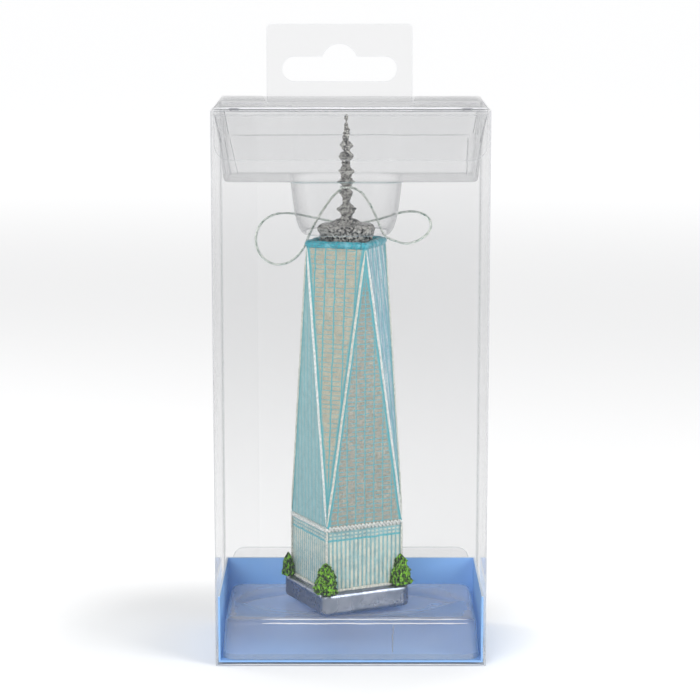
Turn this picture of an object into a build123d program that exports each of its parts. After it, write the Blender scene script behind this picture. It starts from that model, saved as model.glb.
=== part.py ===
from build123d import *
import math
import os

# Boxed glass Christmas ornament: a faceted tower on a plinth, held between two clear trays
# in a clear hang-tab carton. Millimetres, +Z up, front of the carton towards -Y.
# Origin: centre of the carton's footprint, on its underside.

# ---- Driving dimensions ------------------------------------------------------------------
carton_width = 73.0
side_room = 2.054            # from the ornament's trees to the carton's front and back
head_room = 1.9              # from the tip of the mast to the carton's top edge
sheet = 0.35                 # clear plastic sheet of the carton and the trays
board = 0.5                  # printed card of the insert
fit_gap = 0.1                # between sheets that lie on each other
slide_gap = 0.5              # between the tuck flap and the front panel it slides behind

lid_rise = 2.5               # crown of the sprung lid panel over its creases
tuck_length = 13.0
tuck_corner = 4.0
dust_length = 20.0
dust_taper = 0.42            # back edge of a dust flap, depth lost per length
dust_nose = 2.0              # front corner's setback at a dust flap's tip
dust_setback = 1.7           # from the tuck flap's inner face to a dust flap
glue_flap_width = 10.0
glue_flap_margin = 3.0       # seam stops short of both ends of the sleeve
glue_flap_chamfer = 2.0

tab_width = 40.6
tab_height = 21.6            # above the carton's top edge
tab_offset = -3.1            # sideways from the carton's middle
tab_corner = 1.4
slot_length = 31.8
slot_height = 6.7
slot_bump_width = 9.8
slot_bump_height = 3.5
slot_base = 5.8              # from the top crease to the slot's lower edge
kerf = 0.25                  # between the tab and the lid cut-out it was die-cut from

base_tuck_length = 22.3
base_tuck_margin = 2.6       # from the carton's edge to the base tuck flap, each side
base_tuck_corner = 3.5

card_wall = 19.3             # height of the insert's back and side walls over the underside
card_side_gap = 0.45

low_tray_top = 12.4          # height of the surface that the ornament stands on
low_tray_draft = 0.8         # how much each wall leans in from foot to top
low_tray_corner = 4.0
dish_margin = 3.2            # from the tray top's ends to the dish, as if it were centred
dish_width = 27.0
dish_depth = 0.9

rim_drop = 1.0               # from the carton's top edge down to the upper tray's rim
flare_height = 7.8           # rim to shoulder
shoulder_inset = 3.3         # rim to shoulder, each end
floor_inset = 2.2            # shoulder to floor, each end
wall_lean_share = 0.75       # front and back walls lean in less than the ends
top_tray_corner = 4.0
well_gap = 1.4               # from the crown band up to the well's open foot
well_depth = 14.9
well_room = 3.0              # round the spire's cap
well_flare = 3.9             # foot to mouth, each side
well_bulge_share = 0.72      # of the flare reached at the waist
well_waist_share = 0.62      # of the depth from mouth to waist
well_roll = 1.6              # height of the turned-in foot
well_roll_inset = 1.5
well_end_corner = 6.5
well_waist_corner = 7.5

tower_x = -1.2               # ornament axis
turn = 26.0                  # of the podium about the vertical
plinth_step = 1.95           # plinth beyond the podium, each side
plinth_height = 6.3
plinth_corner = 2.5
plinth_top_round = 1.6
plinth_foot_round = 1.2
podium_side = 22.9
podium_height = 17.35
shaft_height = 76.6
glass = 0.9
band_height = 2.0
band_reach = 0.55            # how far a trim band stands out from the glass
band_corner = 0.8
crown_reach = 0.95
crown_corner = 1.2
crown_opening_lip = 0.8      # crown band over the shaft's top edge
neck_radius = 4.0
neck_height = 2.6
plug_depth = 1.0             # plug below the neck's foot
cap_radius = 7.9
cap_height = 6.5             # to the foot of the mast
cap_foot_inset = 0.7
cap_seat_gap = 0.4           # round the cap's foot, inside the crown band
cap_skirt_inset = 0.4
cap_skirt_height = 1.6
cap_edge_drop = 2.1          # from the mast's foot down to the cap's widest edge
cap_lip_drop = 1.4
cap_lip_inset = 0.8
cap_mound_drop = 1.1
cap_mound_radius = 4.345
stem_radius = 1.8
stem_socket_lip = 0.4
mast_length = 34.7           # from the top of the shaft
tip_radius = 0.12
hitch_rise = 14.8            # where the cord is tied, over the top of the shaft
hitch_neck = 1.07            # mast radius there
hitch_neck_height = 0.6
tree_height = 8.6
tree_radius = 3.4
tree_off_corner = 0.55       # tree's axis outside the podium's corner
cord_diameter = 0.6
knot_radius = 0.81
knot_bedding = 0.1

# Beads of the mast from the cap upwards: (radius, height over the shaft), for a 34.7 mast
bead_span = 34.7
beads_below_hitch = [(1.86, 7.4), (2.48, 9.0), (0.93, 10.7), (0.93, 11.5), (1.73, 13.5)]
beads_above_hitch = [(2.13, 16.3), (1.33, 17.9), (2.0, 19.2), (1.25, 20.4), (1.25, 22.0), (1.86, 23.2),
                     (0.93, 25.3), (1.46, 26.5), (1.07, 28.5), (0.55, 29.9), (0.5, 32.6), (0.3, 33.1),
                     (0.42, 33.6)]
# Half outline of a tree: (share of its radius, share of its height)
tree_outline = [(0, 0), (0.86, 0), (1.0, 0.16), (0.93, 0.36),
                (0.72, 0.62), (0.45, 0.85), (0.16, 0.985), (0, 1)]

# Sizes that follow: the ornament stands on the lower tray, and the carton fits round it
plinth_side = podium_side + 2 * plinth_step
crown_side = 2 * (cap_radius - cap_foot_inset + cap_seat_gap + crown_opening_lip)
plinth_base = low_tray_top + fit_gap / 2
plinth_top = plinth_base + plinth_height
podium_top = plinth_top + podium_height
crown_height = podium_top + shaft_height               # top of the faceted shaft
crown_turn = turn - 45.0                               # the top square is turned half a corner
crown_band_base = crown_height - band_height / 2
mast_tip = crown_height + mast_length
bead_share = mast_length / bead_span
hitch_height = crown_height + hitch_rise * bead_share
tree_reach = (podium_side / 2 + tree_off_corner) * math.sqrt(2)
tree_line = tree_reach * max(math.sin(math.radians(turn + 45)), math.cos(math.radians(turn + 45)))

carton_height = mast_tip + head_room
carton_depth = 2 * (tree_line + tree_radius + side_room)
half_w, half_d = carton_width / 2, carton_depth / 2
inner_w, inner_d = carton_width - 2 * sheet, carton_depth - 2 * sheet
crease_z = carton_height + fit_gap                     # underside of the lid at its creases
tuck_front = -half_d + sheet + slide_gap               # outer face of the tuck flap
tuck_back = tuck_front + sheet
base_tuck_y = half_d - 2 * sheet - fit_gap             # outer face of the base tuck flap
card_floor = 2 * sheet + 2 * fit_gap                   # card lies on the base dust flaps
card_back = base_tuck_y - sheet - fit_gap              # outer face of the card's back wall
low_tray_foot = card_floor + board + fit_gap

well_bottom = crown_band_base + band_height + well_gap
top_tray_floor = well_bottom + well_depth
rim_z = carton_height - rim_drop
top_tray_shoulder = rim_z - flare_height
well_foot = 2 * (cap_radius + well_room)
well_mouth = well_foot + 2 * well_flare

os.makedirs("parts", exist_ok=True)


def save(shape, name):
    """Write one sub-part, labelled with its node name."""
    shape.label = name
    export_step(shape, f"parts/{name}.step")


def slab(x0, x1, y0, y1, z0, z1):
    """A box between two opposite corners."""
    return Pos((x0 + x1) / 2, (y0 + y1) / 2, (z0 + z1) / 2) * Box(x1 - x0, y1 - y0, z1 - z0)


def upright_sheet(outline, face_y, thickness=sheet):
    """An outline drawn in X and Z, given a thickness from face_y towards the front."""
    return extrude(Plane(origin=(0, face_y, 0), x_dir=(1, 0, 0), z_dir=(0, -1, 0)) * outline, thickness)


def rounded_loft(sections):
    """A ruled loft through (x, y, z, width, depth, corner radius) rectangles."""
    faces = [Pos(x, y, z) * RectangleRounded(w, d, r) for x, y, z, w, d, r in sections]
    return loft([Sketch() + f for f in faces], ruled=True)


# ---- Carton: sleeve, closures and hang tab -----------------------------------------------
def make_sleeve():
    """The four walls of the folded sheet, panel by panel, and the glued seam."""
    save(slab(-half_w, half_w, -half_d, -half_d + sheet, 0, carton_height), "front_panel")
    save(slab(-half_w, half_w, half_d - sheet, half_d, 0, carton_height), "back_panel")
    for name, side in (("left_panel", -1), ("right_panel", 1)):
        x0, x1 = sorted((side * half_w, side * (half_w - sheet)))
        save(slab(x0, x1, -half_d + sheet, half_d - sheet, 0, carton_height), name)
    seam = Pos(-half_w + sheet + glue_flap_width / 2, carton_height / 2)
    seam *= Rectangle(glue_flap_width, carton_height - 2 * glue_flap_margin)
    seam = chamfer(seam.vertices().group_by(Axis.X)[-1], glue_flap_chamfer)
    save(upright_sheet(seam, half_d - sheet), "glue_flap")


def tab_outline(grow=0.0):
    """The hang tab's outer edge, its lower edge on the top crease."""
    width, height = tab_width + 2 * grow, tab_height + grow
    outline = Pos(tab_offset, height / 2) * Rectangle(width, height)
    return fillet(outline.vertices().group_by(Axis.Y)[-1], tab_corner)


def make_hang_tab():
    """The tab with its hanging slot: a long round-ended slot with a bump at mid-length."""
    slot_z = slot_base + slot_height / 2
    slot = Pos(tab_offset, slot_z) * SlotOverall(slot_length, slot_height)
    bump_top = slot_base + slot_height + slot_bump_height
    bump_radius = slot_bump_width / 2
    bump = Pos(tab_offset, bump_top - bump_radius) * Circle(bump_radius)
    outline = Pos(0, crease_z) * (tab_outline() - slot - bump)
    save(upright_sheet(outline, half_d), "hang_tab")


def make_lid():
    """The lid panel, sprung into a low arch, with the cut-out that the hang tab leaves."""
    front, back = -half_d + sheet, half_d - fit_gap
    chord = back - front
    middle = (back + front) / 2
    radius = (chord ** 2 / 4 + lid_rise ** 2) / (2 * lid_rise)
    centre = (middle, crease_z + lid_rise - radius)
    reach = math.asin(chord / 2 / radius)

    def at(angle, r):
        return centre[0] + r * math.sin(angle), centre[1] + r * math.cos(angle)

    inner = ThreePointArc(at(-reach, radius), at(0, radius), at(reach, radius))
    outer = ThreePointArc(at(-reach, radius + sheet), at(0, radius + sheet), at(reach, radius + sheet))
    section = make_face([inner, outer, Line(inner @ 0, outer @ 0), Line(inner @ 1, outer @ 1)])
    across = Plane(origin=(0, 0, 0), x_dir=(0, 1, 0), z_dir=(1, 0, 0))
    lid = extrude(across * section, half_w - fit_gap, both=True)
    cut_plane = Plane(origin=(0, half_d, 0), x_dir=(1, 0, 0), z_dir=(0, 0, -1))
    tab_foot = Pos(tab_offset, 0) * Rectangle(tab_width + 2 * kerf, 2)
    save(lid - extrude(cut_plane * (tab_outline(kerf) + tab_foot), 2 * carton_height, both=True), "lid_panel")


def make_tuck_flap():
    """The flap on the lid's front crease, behind the front panel."""
    width = inner_w - 2 * slide_gap
    outline = Pos(0, carton_height - tuck_length / 2) * Rectangle(width, tuck_length)
    outline = fillet(outline.vertices().group_by(Axis.Y)[0], tuck_corner)
    save(upright_sheet(outline, tuck_back), "tuck_flap")


def dust_outline(side):
    """A dust flap seen from above: full depth at its crease, tapered along its back edge."""
    root = half_w - sheet - fit_gap / 2
    tip = root - dust_length
    front = tuck_back + dust_setback
    back = half_d - 2 * sheet - 3 * fit_gap
    points = [(root, front), (root, back), (tip, back - dust_taper * dust_length), (tip, front + dust_nose)]
    return make_face(Polyline([(side * x, y) for x, y in points], close=True))


def make_dust_flaps():
    """Side flaps folded in, under the lid and under the bottom panel's contents."""
    for name, side in (("left_dust_flap", -1), ("right_dust_flap", 1)):
        outline = dust_outline(side)
        save(extrude(Pos(0, 0, carton_height - fit_gap - sheet) * outline, sheet, dir=(0, 0, 1)), name)
    for name, side in (("bottom_left_dust_flap", -1), ("bottom_right_dust_flap", 1)):
        outline = dust_outline(side)
        save(extrude(Pos(0, 0, sheet + fit_gap) * outline, sheet, dir=(0, 0, 1)), name)


def make_bottom():
    """The bottom panel, creased to the front panel, and its tuck flap inside the back."""
    save(slab(-inner_w / 2 + fit_gap, inner_w / 2 - fit_gap, -inner_d / 2 + fit_gap,
              base_tuck_y, 0, sheet), "bottom_panel")
    width, height = carton_width - 2 * base_tuck_margin, base_tuck_length - sheet
    outline = Pos(0, sheet + height / 2) * Rectangle(width, height)
    outline = fillet(outline.vertices().group_by(Axis.Y)[-1], base_tuck_corner)
    save(upright_sheet(outline, base_tuck_y), "bottom_tuck_flap")


# ---- Card insert and trays ---------------------------------------------------------------
def make_card():
    """Folded card: floor, back wall and side walls, open at the front and the top."""
    half = inner_w / 2 - card_side_gap
    front = -inner_d / 2 + 2 * fit_gap
    card = slab(-half, half, front, card_back, card_floor, card_wall)
    card -= slab(-half + board, half - board, front - 1, card_back - board, card_floor + board, card_wall + 1)
    save(card, "card_insert")


def make_lower_tray():
    """Upturned pan of clear sheet, with a shallow lens-shaped dish in its top."""
    half = inner_w / 2 - card_side_gap - board - 2 * fit_gap
    front, back = -inner_d / 2 + 3 * fit_gap, card_back - board - 2 * fit_gap
    middle, depth = (front + back) / 2, back - front

    def block(inset, top):
        foot = (0, middle, low_tray_foot, 2 * (half - inset), depth - 2 * inset, low_tray_corner)
        head = (0, middle, top, 2 * (half - inset - low_tray_draft), depth - 2 * (inset + low_tray_draft),
                low_tray_corner)
        return rounded_loft([foot, head])

    dish_length = 2 * (half - low_tray_draft - dish_margin)
    lens_radius = (dish_length ** 2 / 4 + dish_width ** 2 / 4) / dish_width

    def lens(inset, z0, z1):
        bow = lens_radius - inset
        shift = lens_radius - dish_width / 2
        shape = Pos(0, -shift) * Circle(bow) & Pos(0, shift) * Circle(bow)
        return extrude(Pos(tower_x, 0, z0) * shape, z1 - z0)

    tray = block(0, low_tray_top) - block(sheet, low_tray_top - sheet)
    tray += lens(-sheet, low_tray_top - dish_depth - sheet, low_tray_top - sheet)
    tray -= lens(0, low_tray_top - dish_depth, low_tray_top + 1)
    save(tray, "lower_tray")


def make_upper_tray():
    """Flared pan with a central well that comes down over the crown of the tower."""
    half = inner_w / 2 - 3 * fit_gap
    front, back = tuck_back + 4 * fit_gap, half_d - 2 * sheet - 2 * fit_gap
    middle, depth = (front + back) / 2, back - front

    def pan(skin, floor):
        levels = [(0, 1.0, rim_z), (shoulder_inset, wall_lean_share, top_tray_shoulder),
                  (shoulder_inset + floor_inset, wall_lean_share, floor)]
        return rounded_loft([
            (0, middle, z, 2 * (half - inset - skin), depth - 2 * (inset + skin) * share, top_tray_corner)
            for inset, share, z in levels])

    bulge = well_bulge_share * well_mouth + (1 - well_bulge_share) * well_foot
    levels = [(top_tray_floor + sheet, well_mouth, well_end_corner),
              (top_tray_floor - well_waist_share * well_depth, bulge, well_waist_corner),
              (well_bottom + well_roll, well_foot + 2 * well_roll_inset, well_waist_corner),
              (well_bottom, well_foot, well_end_corner)]

    def well(skin):
        return rounded_loft([(tower_x, 0, z, side - 2 * skin, side - 2 * skin, corner - skin)
                             for z, side, corner in levels])

    tray = pan(0, top_tray_floor) - pan(sheet, top_tray_floor + sheet)
    save(tray + well(0) - well(sheet), "upper_tray")


# ---- Ornament ----------------------------------------------------------------------------
def corners(side, angle, z):
    """The corners of a square about the tower's axis, turned by angle."""
    radius = side / math.sqrt(2)
    turns = [math.radians(angle + 45 + 90 * i) for i in range(4)]
    return [Vector(tower_x + radius * math.cos(a), radius * math.sin(a), z) for a in turns]


def polygon(points):
    return Face(Wire.make_polygon(points, close=True))


def antiprism(low_side, high_side, z0, z1):
    """Eight tall triangles between a square and a smaller one turned by half a corner."""
    low, high = corners(low_side, turn, z0), corners(high_side, crown_turn, z1)
    faces = [polygon(low), polygon(high)]
    for i in range(4):
        following = (i + 1) % 4
        faces.append(polygon([low[i], high[i], high[following]]))
        faces.append(polygon([low[i], low[following], high[following]]))
    return Solid(Shell(faces))


def square_block(side, angle, z0, z1, corner=0.0):
    """An upright square prism on the tower's axis."""
    outline = RectangleRounded(side, side, corner) if corner else Rectangle(side, side)
    return extrude(Pos(tower_x, 0, z0) * Rot(0, 0, angle) * outline, z1 - z0)


def turned(points):
    """A solid of revolution on the tower's axis through (radius, height) points."""
    closed = [(0, points[0][1])] + points + [(0, points[-1][1])]
    face = make_face(Polyline(closed, close=True))
    return Pos(tower_x, 0, 0) * revolve(Plane.XZ * face, Axis.Z)


def make_glass():
    """Hollow blown glass: podium, faceted shaft and open neck."""
    outer = square_block(podium_side, turn, plinth_top, podium_top)
    outer += antiprism(podium_side, crown_side, podium_top, crown_height)
    neck_top = crown_height + neck_height
    outer += Pos(tower_x, 0, crown_height + neck_height / 2) * Cylinder(neck_radius, neck_height)
    inner = square_block(podium_side - 2 * glass, turn, plinth_top + glass, podium_top)
    inner += antiprism(podium_side - 2 * glass, crown_side - 2 * glass, podium_top, crown_height - glass)
    bore = neck_radius - glass
    bore_length = neck_height + 2 * glass
    inner += Pos(tower_x, 0, neck_top - bore_length / 2) * Cylinder(bore, bore_length)
    save(outer - inner, "tower_glass")


def make_trim():
    """The plinth, the raised band over the podium and the rope-like band round the crown."""
    plinth = square_block(plinth_side, turn, plinth_base, plinth_top, plinth_corner)
    rims = plinth.faces().sort_by(Axis.Z)
    plinth = fillet(rims[-1].edges(), plinth_top_round)
    plinth = fillet(plinth.faces().sort_by(Axis.Z)[0].edges(), plinth_foot_round)
    save(plinth, "plinth")

    low, high = podium_top - band_height / 2, podium_top + band_height / 2
    band = square_block(podium_side + 2 * band_reach, turn, low, high, band_corner)
    band -= square_block(podium_side, turn, low - 1, podium_top)
    band -= antiprism(podium_side, crown_side, podium_top, crown_height)
    save(band, "podium_band")

    top = crown_band_base + band_height
    band = square_block(crown_side + 2 * crown_reach, crown_turn, crown_band_base, top, crown_corner)
    band -= square_block(crown_side - 2 * crown_opening_lip, crown_turn, crown_height - 0.01, top + 1, 0.6)
    band -= antiprism(podium_side, crown_side, podium_top, crown_height)
    save(band, "crown_band")


def make_spire():
    """The cap that covers the neck, the plug in the neck and the beaded mast."""
    base = crown_height
    neck_top = crown_height + neck_height
    top = base + cap_height
    cap = turned([(cap_radius - cap_foot_inset, base),
                  (cap_radius - cap_skirt_inset, base + cap_skirt_height),
                  (cap_radius, top - cap_edge_drop), (cap_radius - cap_lip_inset, top - cap_lip_drop),
                  (cap_mound_radius, top - cap_mound_drop), (stem_radius + stem_socket_lip, top)])
    cap -= turned([(neck_radius + fit_gap, base - 1), (neck_radius + fit_gap, neck_top + fit_gap)])
    cap -= turned([(stem_radius, neck_top), (stem_radius, top + 1)])
    save(cap, "spire_cap")

    plug_radius = neck_radius - glass - fit_gap / 2
    save(turned([(plug_radius, crown_height - glass - plug_depth), (plug_radius, neck_top)]), "neck_plug")

    hitch = [(hitch_neck, hitch_rise - hitch_neck_height / 2),
             (hitch_neck, hitch_rise + hitch_neck_height / 2)]
    beads = [(r, base + h * bead_share) for r, h in beads_below_hitch + hitch + beads_above_hitch]
    stem = [(stem_radius, neck_top + fit_gap), (stem_radius, top)]
    save(turned(stem + beads + [(tip_radius, mast_tip)]), "spire_mast")


def make_trees():
    """One small tree at each corner of the plinth, bedded on the plinth and off the glass."""
    for name, corner in (("tree_right", 3), ("tree_back", 0), ("tree_left", 1), ("tree_front", 2)):
        angle = math.radians(turn + 45 + 90 * corner)
        x, y = tower_x + tree_reach * math.cos(angle), tree_reach * math.sin(angle)
        points = [(r * tree_radius, plinth_top - fit_gap + h * tree_height) for r, h in tree_outline]
        tree = Pos(x, y, 0) * revolve(Plane.XZ * make_face(Polyline(points, close=True)), Axis.Z)
        tree -= square_block(podium_side + fit_gap, turn, plinth_top - 1, podium_top)
        reach = 2 * tree_radius
        tree -= slab(x - reach, x + reach, y - reach, y + reach, plinth_top - 1, plinth_top)
        save(tree, name)


# ---- Hanging cord ------------------------------------------------------------------------
# From behind the mast down the well, out under its foot, round the left loop, behind the
# well, round the right loop and back to the mast.
cord_route = [
    (-1.7, 2.3, 127.4), (-4.3, 3.1, 125.8), (-7.2, 3.6, 121.6), (-9.6, 3.4, 117.8),
    (-11.5, 2.6, 114.0), (-12.8, 1.2, 110.6), (-15.8, 0.0, 107.4), (-20.2, -0.6, 106.2),
    (-24.4, -0.4, 108.4), (-26.2, 0.2, 113.2), (-24.6, 1.8, 117.8), (-21.0, 5.2, 119.8),
    (-17.2, 10.2, 119.6), (-12.9, 15.0, 118.4), (-6.8, 16.8, 116.8), (0.4, 17.2, 115.6),
    (7.0, 16.6, 116.9), (11.8, 13.4, 118.8), (15.0, 8.6, 120.2), (18.4, 4.2, 120.6),
    (21.4, 1.2, 119.3), (22.0, -0.2, 116.2), (19.4, -0.8, 113.6), (15.2, -0.4, 112.0),
    (11.9, 0.6, 112.9), (9.0, 1.7, 114.1), (7.8, 2.7, 117.2), (5.4, 3.5, 122.6),
    (2.4, 3.1, 126.8), (0.0, 2.4, 127.2)]


def make_knot():
    """The hitch of the cord: a turn round the mast's neck and a knot behind it."""
    ring_radius = hitch_neck + cord_diameter / 2 + fit_gap
    ring = Pos(tower_x, 0, hitch_height) * Torus(ring_radius, cord_diameter / 2)
    knot = Pos(tower_x, ring_radius + knot_radius - knot_bedding, hitch_height) * Sphere(knot_radius)
    save(ring + knot, "cord_knot")


def make_cord():
    """Straight runs joined by arcs as large as the runs allow."""
    points = [Vector(*p) for p in cord_route]
    radii = []
    for before, at, after in zip(points, points[1:], points[2:]):
        first, second = at - before, after - at
        half_turn = math.radians(first.get_angle(second)) / 2
        radii.append(0.45 * min(first.length, second.length) / math.tan(half_turn))
    path = FilletPolyline(*points, radius=radii)
    section = Plane(origin=path @ 0, z_dir=path % 0) * Circle(cord_diameter / 2)
    cord = sweep(section, path=path)
    print("cord radii", [round(r, 1) for r in radii])
    print("cord length", round(path.length, 1), "volume share",
          round(cord.volume / (math.pi * cord_diameter ** 2 / 4 * path.length), 4))
    save(cord, "hanging_cord")


make_sleeve()
make_hang_tab()
make_lid()
make_tuck_flap()
make_dust_flaps()
make_bottom()
make_card()
make_lower_tray()
make_upper_tray()
make_glass()
make_trim()
make_spire()
make_trees()
make_knot()
make_cord()
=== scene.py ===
import math

import bpy
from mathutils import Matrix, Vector, noise
from mathutils.geometry import delaunay_2d_cdt


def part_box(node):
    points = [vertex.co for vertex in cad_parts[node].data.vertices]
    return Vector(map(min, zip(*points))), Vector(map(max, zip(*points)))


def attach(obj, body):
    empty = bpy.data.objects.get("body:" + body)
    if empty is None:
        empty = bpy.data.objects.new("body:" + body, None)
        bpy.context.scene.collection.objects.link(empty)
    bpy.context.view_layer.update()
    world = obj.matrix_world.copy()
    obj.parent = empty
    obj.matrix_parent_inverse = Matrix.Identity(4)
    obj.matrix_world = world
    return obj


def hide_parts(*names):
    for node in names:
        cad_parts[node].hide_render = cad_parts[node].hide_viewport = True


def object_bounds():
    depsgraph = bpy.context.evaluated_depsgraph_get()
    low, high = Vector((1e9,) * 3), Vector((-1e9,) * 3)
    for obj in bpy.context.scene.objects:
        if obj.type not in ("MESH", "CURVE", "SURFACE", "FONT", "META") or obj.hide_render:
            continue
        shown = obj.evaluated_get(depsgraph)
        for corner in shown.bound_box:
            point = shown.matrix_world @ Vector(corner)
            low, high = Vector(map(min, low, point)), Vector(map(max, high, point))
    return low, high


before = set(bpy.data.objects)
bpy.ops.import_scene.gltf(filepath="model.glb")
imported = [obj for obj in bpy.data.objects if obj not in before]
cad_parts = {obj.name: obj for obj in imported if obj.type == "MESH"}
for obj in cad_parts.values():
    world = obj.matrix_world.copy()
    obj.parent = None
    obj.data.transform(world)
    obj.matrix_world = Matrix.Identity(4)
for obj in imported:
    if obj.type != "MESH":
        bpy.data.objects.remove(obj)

# A faceted glass tower ornament between two clear trays, in a clear hang-tab carton.
# Metres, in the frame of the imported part: front towards -Y, up +Z.
cadLow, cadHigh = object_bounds()
mm = 0.001


# small tools
def addPiece(name, points, faces, materials, body, nodes=(), slots=None):
    mesh = bpy.data.meshes.new(name)
    mesh.from_pydata([tuple(p) for p in points], [], faces)
    for material in materials:
        mesh.materials.append(material)
    for face in mesh.polygons:
        face.use_smooth = True
        if slots:
            face.material_index = slots[face.index]
    piece = bpy.data.objects.new(name, mesh)
    bpy.context.collection.objects.link(piece)
    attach(piece, body)
    if nodes:
        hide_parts(*nodes)
    return piece


def roundedRing(width, depth, radius, cornerSteps=6, sideSteps=1):
    # a rounded rectangle from its front right corner, anticlockwise from above: x, y, and whether on a corner
    ring = []
    corners = ((1, -1, -90), (1, 1, 0), (-1, 1, 90), (-1, -1, 180))
    for number, (sideX, sideY, start) in enumerate(corners):
        centreX = sideX * (width / 2 - radius)
        centreY = sideY * (depth / 2 - radius)
        for step in range(cornerSteps + 1):
            angle = math.radians(start + 90 * step / cornerSteps)
            ring.append((centreX + radius * math.cos(angle), centreY + radius * math.sin(angle), True))
        nextX, nextY, nextStart = corners[(number + 1) % 4]
        angle = math.radians(nextStart)
        endX = nextX * (width / 2 - radius) + radius * math.cos(angle)
        endY = nextY * (depth / 2 - radius) + radius * math.sin(angle)
        startX, startY, _ = ring[-1]
        for step in range(1, sideSteps):
            share = step / sideSteps
            ring.append((startX + (endX - startX) * share, startY + (endY - startY) * share, False))
    return ring


def bridge(ringCount, pointCount):
    # the faces between rings of points, each ring closed
    return [(i * pointCount + j, i * pointCount + (j + 1) % pointCount,
             (i + 1) * pointCount + (j + 1) % pointCount, (i + 1) * pointCount + j)
            for i in range(ringCount - 1) for j in range(pointCount)]


def roundedOutline(corners, radii, steps=5):
    # a closed outline in two dimensions, its corners rounded by arcs of the given radii
    outline = []
    for i, (corner, radius) in enumerate(zip(corners, radii)):
        at = Vector(corner)
        before = (Vector(corners[i - 1]) - at).normalized()
        after = (Vector(corners[(i + 1) % len(corners)]) - at).normalized()
        if radius == 0:
            outline.append(at)
            continue
        half = before.angle(after) / 2
        centre = at + (before + after).normalized() * radius / math.sin(half)
        reach = radius / math.tan(half)
        first, last = at + before * reach - centre, at + after * reach - centre
        for step in range(steps + 1):
            way = first.lerp(last, step / steps)
            outline.append(centre + way.normalized() * radius)
    return outline


def insetOutline(outline, inset):
    area = sum(a.x * b.y - b.x * a.y for a, b in zip(outline, outline[1:] + outline[:1]))
    side = 1 if area > 0 else -1
    inner = []
    for i, at in enumerate(outline):
        before = (at - outline[i - 1]).normalized()
        after = (outline[(i + 1) % len(outline)] - at).normalized()
        normal = Vector((-before.y - after.y, before.x + after.x)) * side
        normal.normalize()
        lean = max(0.4, normal.dot(Vector((-before.y, before.x)) * side))
        inner.append(at + normal * inset / lean)
    return inner


def flatSheet(outline, holes=(), edge=0.3 * mm, spacing=2.5 * mm):
    # triangles of a flat sheet with holes, a narrow band along every cut edge being slot 1
    loops = [outline, insetOutline(outline, edge)]
    for hole in holes:
        loops += [hole, insetOutline(hole, -edge)]
    points, edges = [], []
    for loop in loops:
        start = len(points)
        points += loop
        edges += [(start + i, start + (i + 1) % len(loop)) for i in range(len(loop))]
    lowX, highX = min(p.x for p in outline), max(p.x for p in outline)
    lowY, highY = min(p.y for p in outline), max(p.y for p in outline)
    columns, rows = int((highX - lowX) / spacing) + 1, int((highY - lowY) / spacing) + 1
    for i in range(1, columns):
        for j in range(1, rows):
            points.append(Vector((lowX + (highX - lowX) * i / columns, lowY + (highY - lowY) * j / rows)))
    flat, _, triangles, _, _, _ = delaunay_2d_cdt(points, edges, [], 0, 1e-7)
    kept, slots = [], []
    for triangle in triangles:
        middle = sum((flat[i] for i in triangle), Vector((0, 0))) / 3
        if not inside(middle, outline) or any(inside(middle, hole) for hole in holes):
            continue
        kept.append(tuple(triangle))
        inBody = inside(middle, loops[1]) and not any(inside(middle, loop) for loop in loops[3::2])
        slots.append(0 if inBody else 1)
    return flat, kept, slots


def boxOutline(low, high, radii, flat=False):
    # a rounded rectangle as wide as a node's box: seen from above if flat, else from the front
    rows = (low.y, high.y) if flat else (low.z, high.z)
    corners = [(low.x, rows[0]), (high.x, rows[0]), (high.x, rows[1]), (low.x, rows[1])]
    return roundedOutline(corners, radii)


def addSheet(name, outline, at, materials, body, nodes, flat=False, **settings):
    # a flat sheet cut to the outline, lying at height at if flat, else standing at depth at
    points, faces, slots = flatSheet(outline, **settings)
    placed = [(p.x, p.y, at) if flat else (p.x, at, p.y) for p in points]
    return addPiece(name, placed, faces, materials, body, nodes, slots=slots)


def inside(point, loop):
    crossings = False
    for a, b in zip(loop, loop[1:] + loop[:1]):
        if (a.y > point.y) != (b.y > point.y):
            if point.x < (b.x - a.x) * (point.y - a.y) / (b.y - a.y) + a.x:
                crossings = not crossings
    return crossings


# node tools
def startMaterial(name, **settings):
    material = bpy.data.materials.new(name)
    material.use_nodes = True
    shader = material.node_tree.nodes["Principled BSDF"]
    names = {"colour": "Base Color", "metal": "Metallic", "rough": "Roughness",
             "specular": "Specular IOR Level",
             "coat": "Coat Weight", "coatRough": "Coat Roughness", "sheen": "Sheen Weight", "ior": "IOR"}
    for key, value in settings.items():
        shader.inputs[names[key]].default_value = (*value, 1) if key == "colour" else value
    return material, material.node_tree, shader


def feed(tree, value, socket):
    if isinstance(value, bpy.types.NodeSocket):
        tree.links.new(value, socket)
    elif isinstance(value, (tuple, Vector)) and socket.type == "RGBA":
        socket.default_value = (*value, 1)
    else:
        socket.default_value = value


def maths(tree, operation, first, second=None, clamp=False):
    node = tree.nodes.new("ShaderNodeMath")
    node.operation = operation
    node.use_clamp = clamp
    feed(tree, first, node.inputs[0])
    if second is not None:
        feed(tree, second, node.inputs[1])
    return node.outputs[0]


def times(tree, first, second):
    return maths(tree, "MULTIPLY", first, second)


def plus(tree, first, second, clamp=False):
    return maths(tree, "ADD", first, second, clamp)


def minus(tree, first, second):
    return maths(tree, "SUBTRACT", first, second)


def rescale(tree, value, low, high, toLow=0.0, toHigh=1.0, smooth=False):
    node = tree.nodes.new("ShaderNodeMapRange")
    if smooth:
        node.interpolation_type = "SMOOTHSTEP"
    for socket, number in zip(node.inputs, (value, low, high, toLow, toHigh)):
        feed(tree, number, socket)
    return node.outputs[0]


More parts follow.
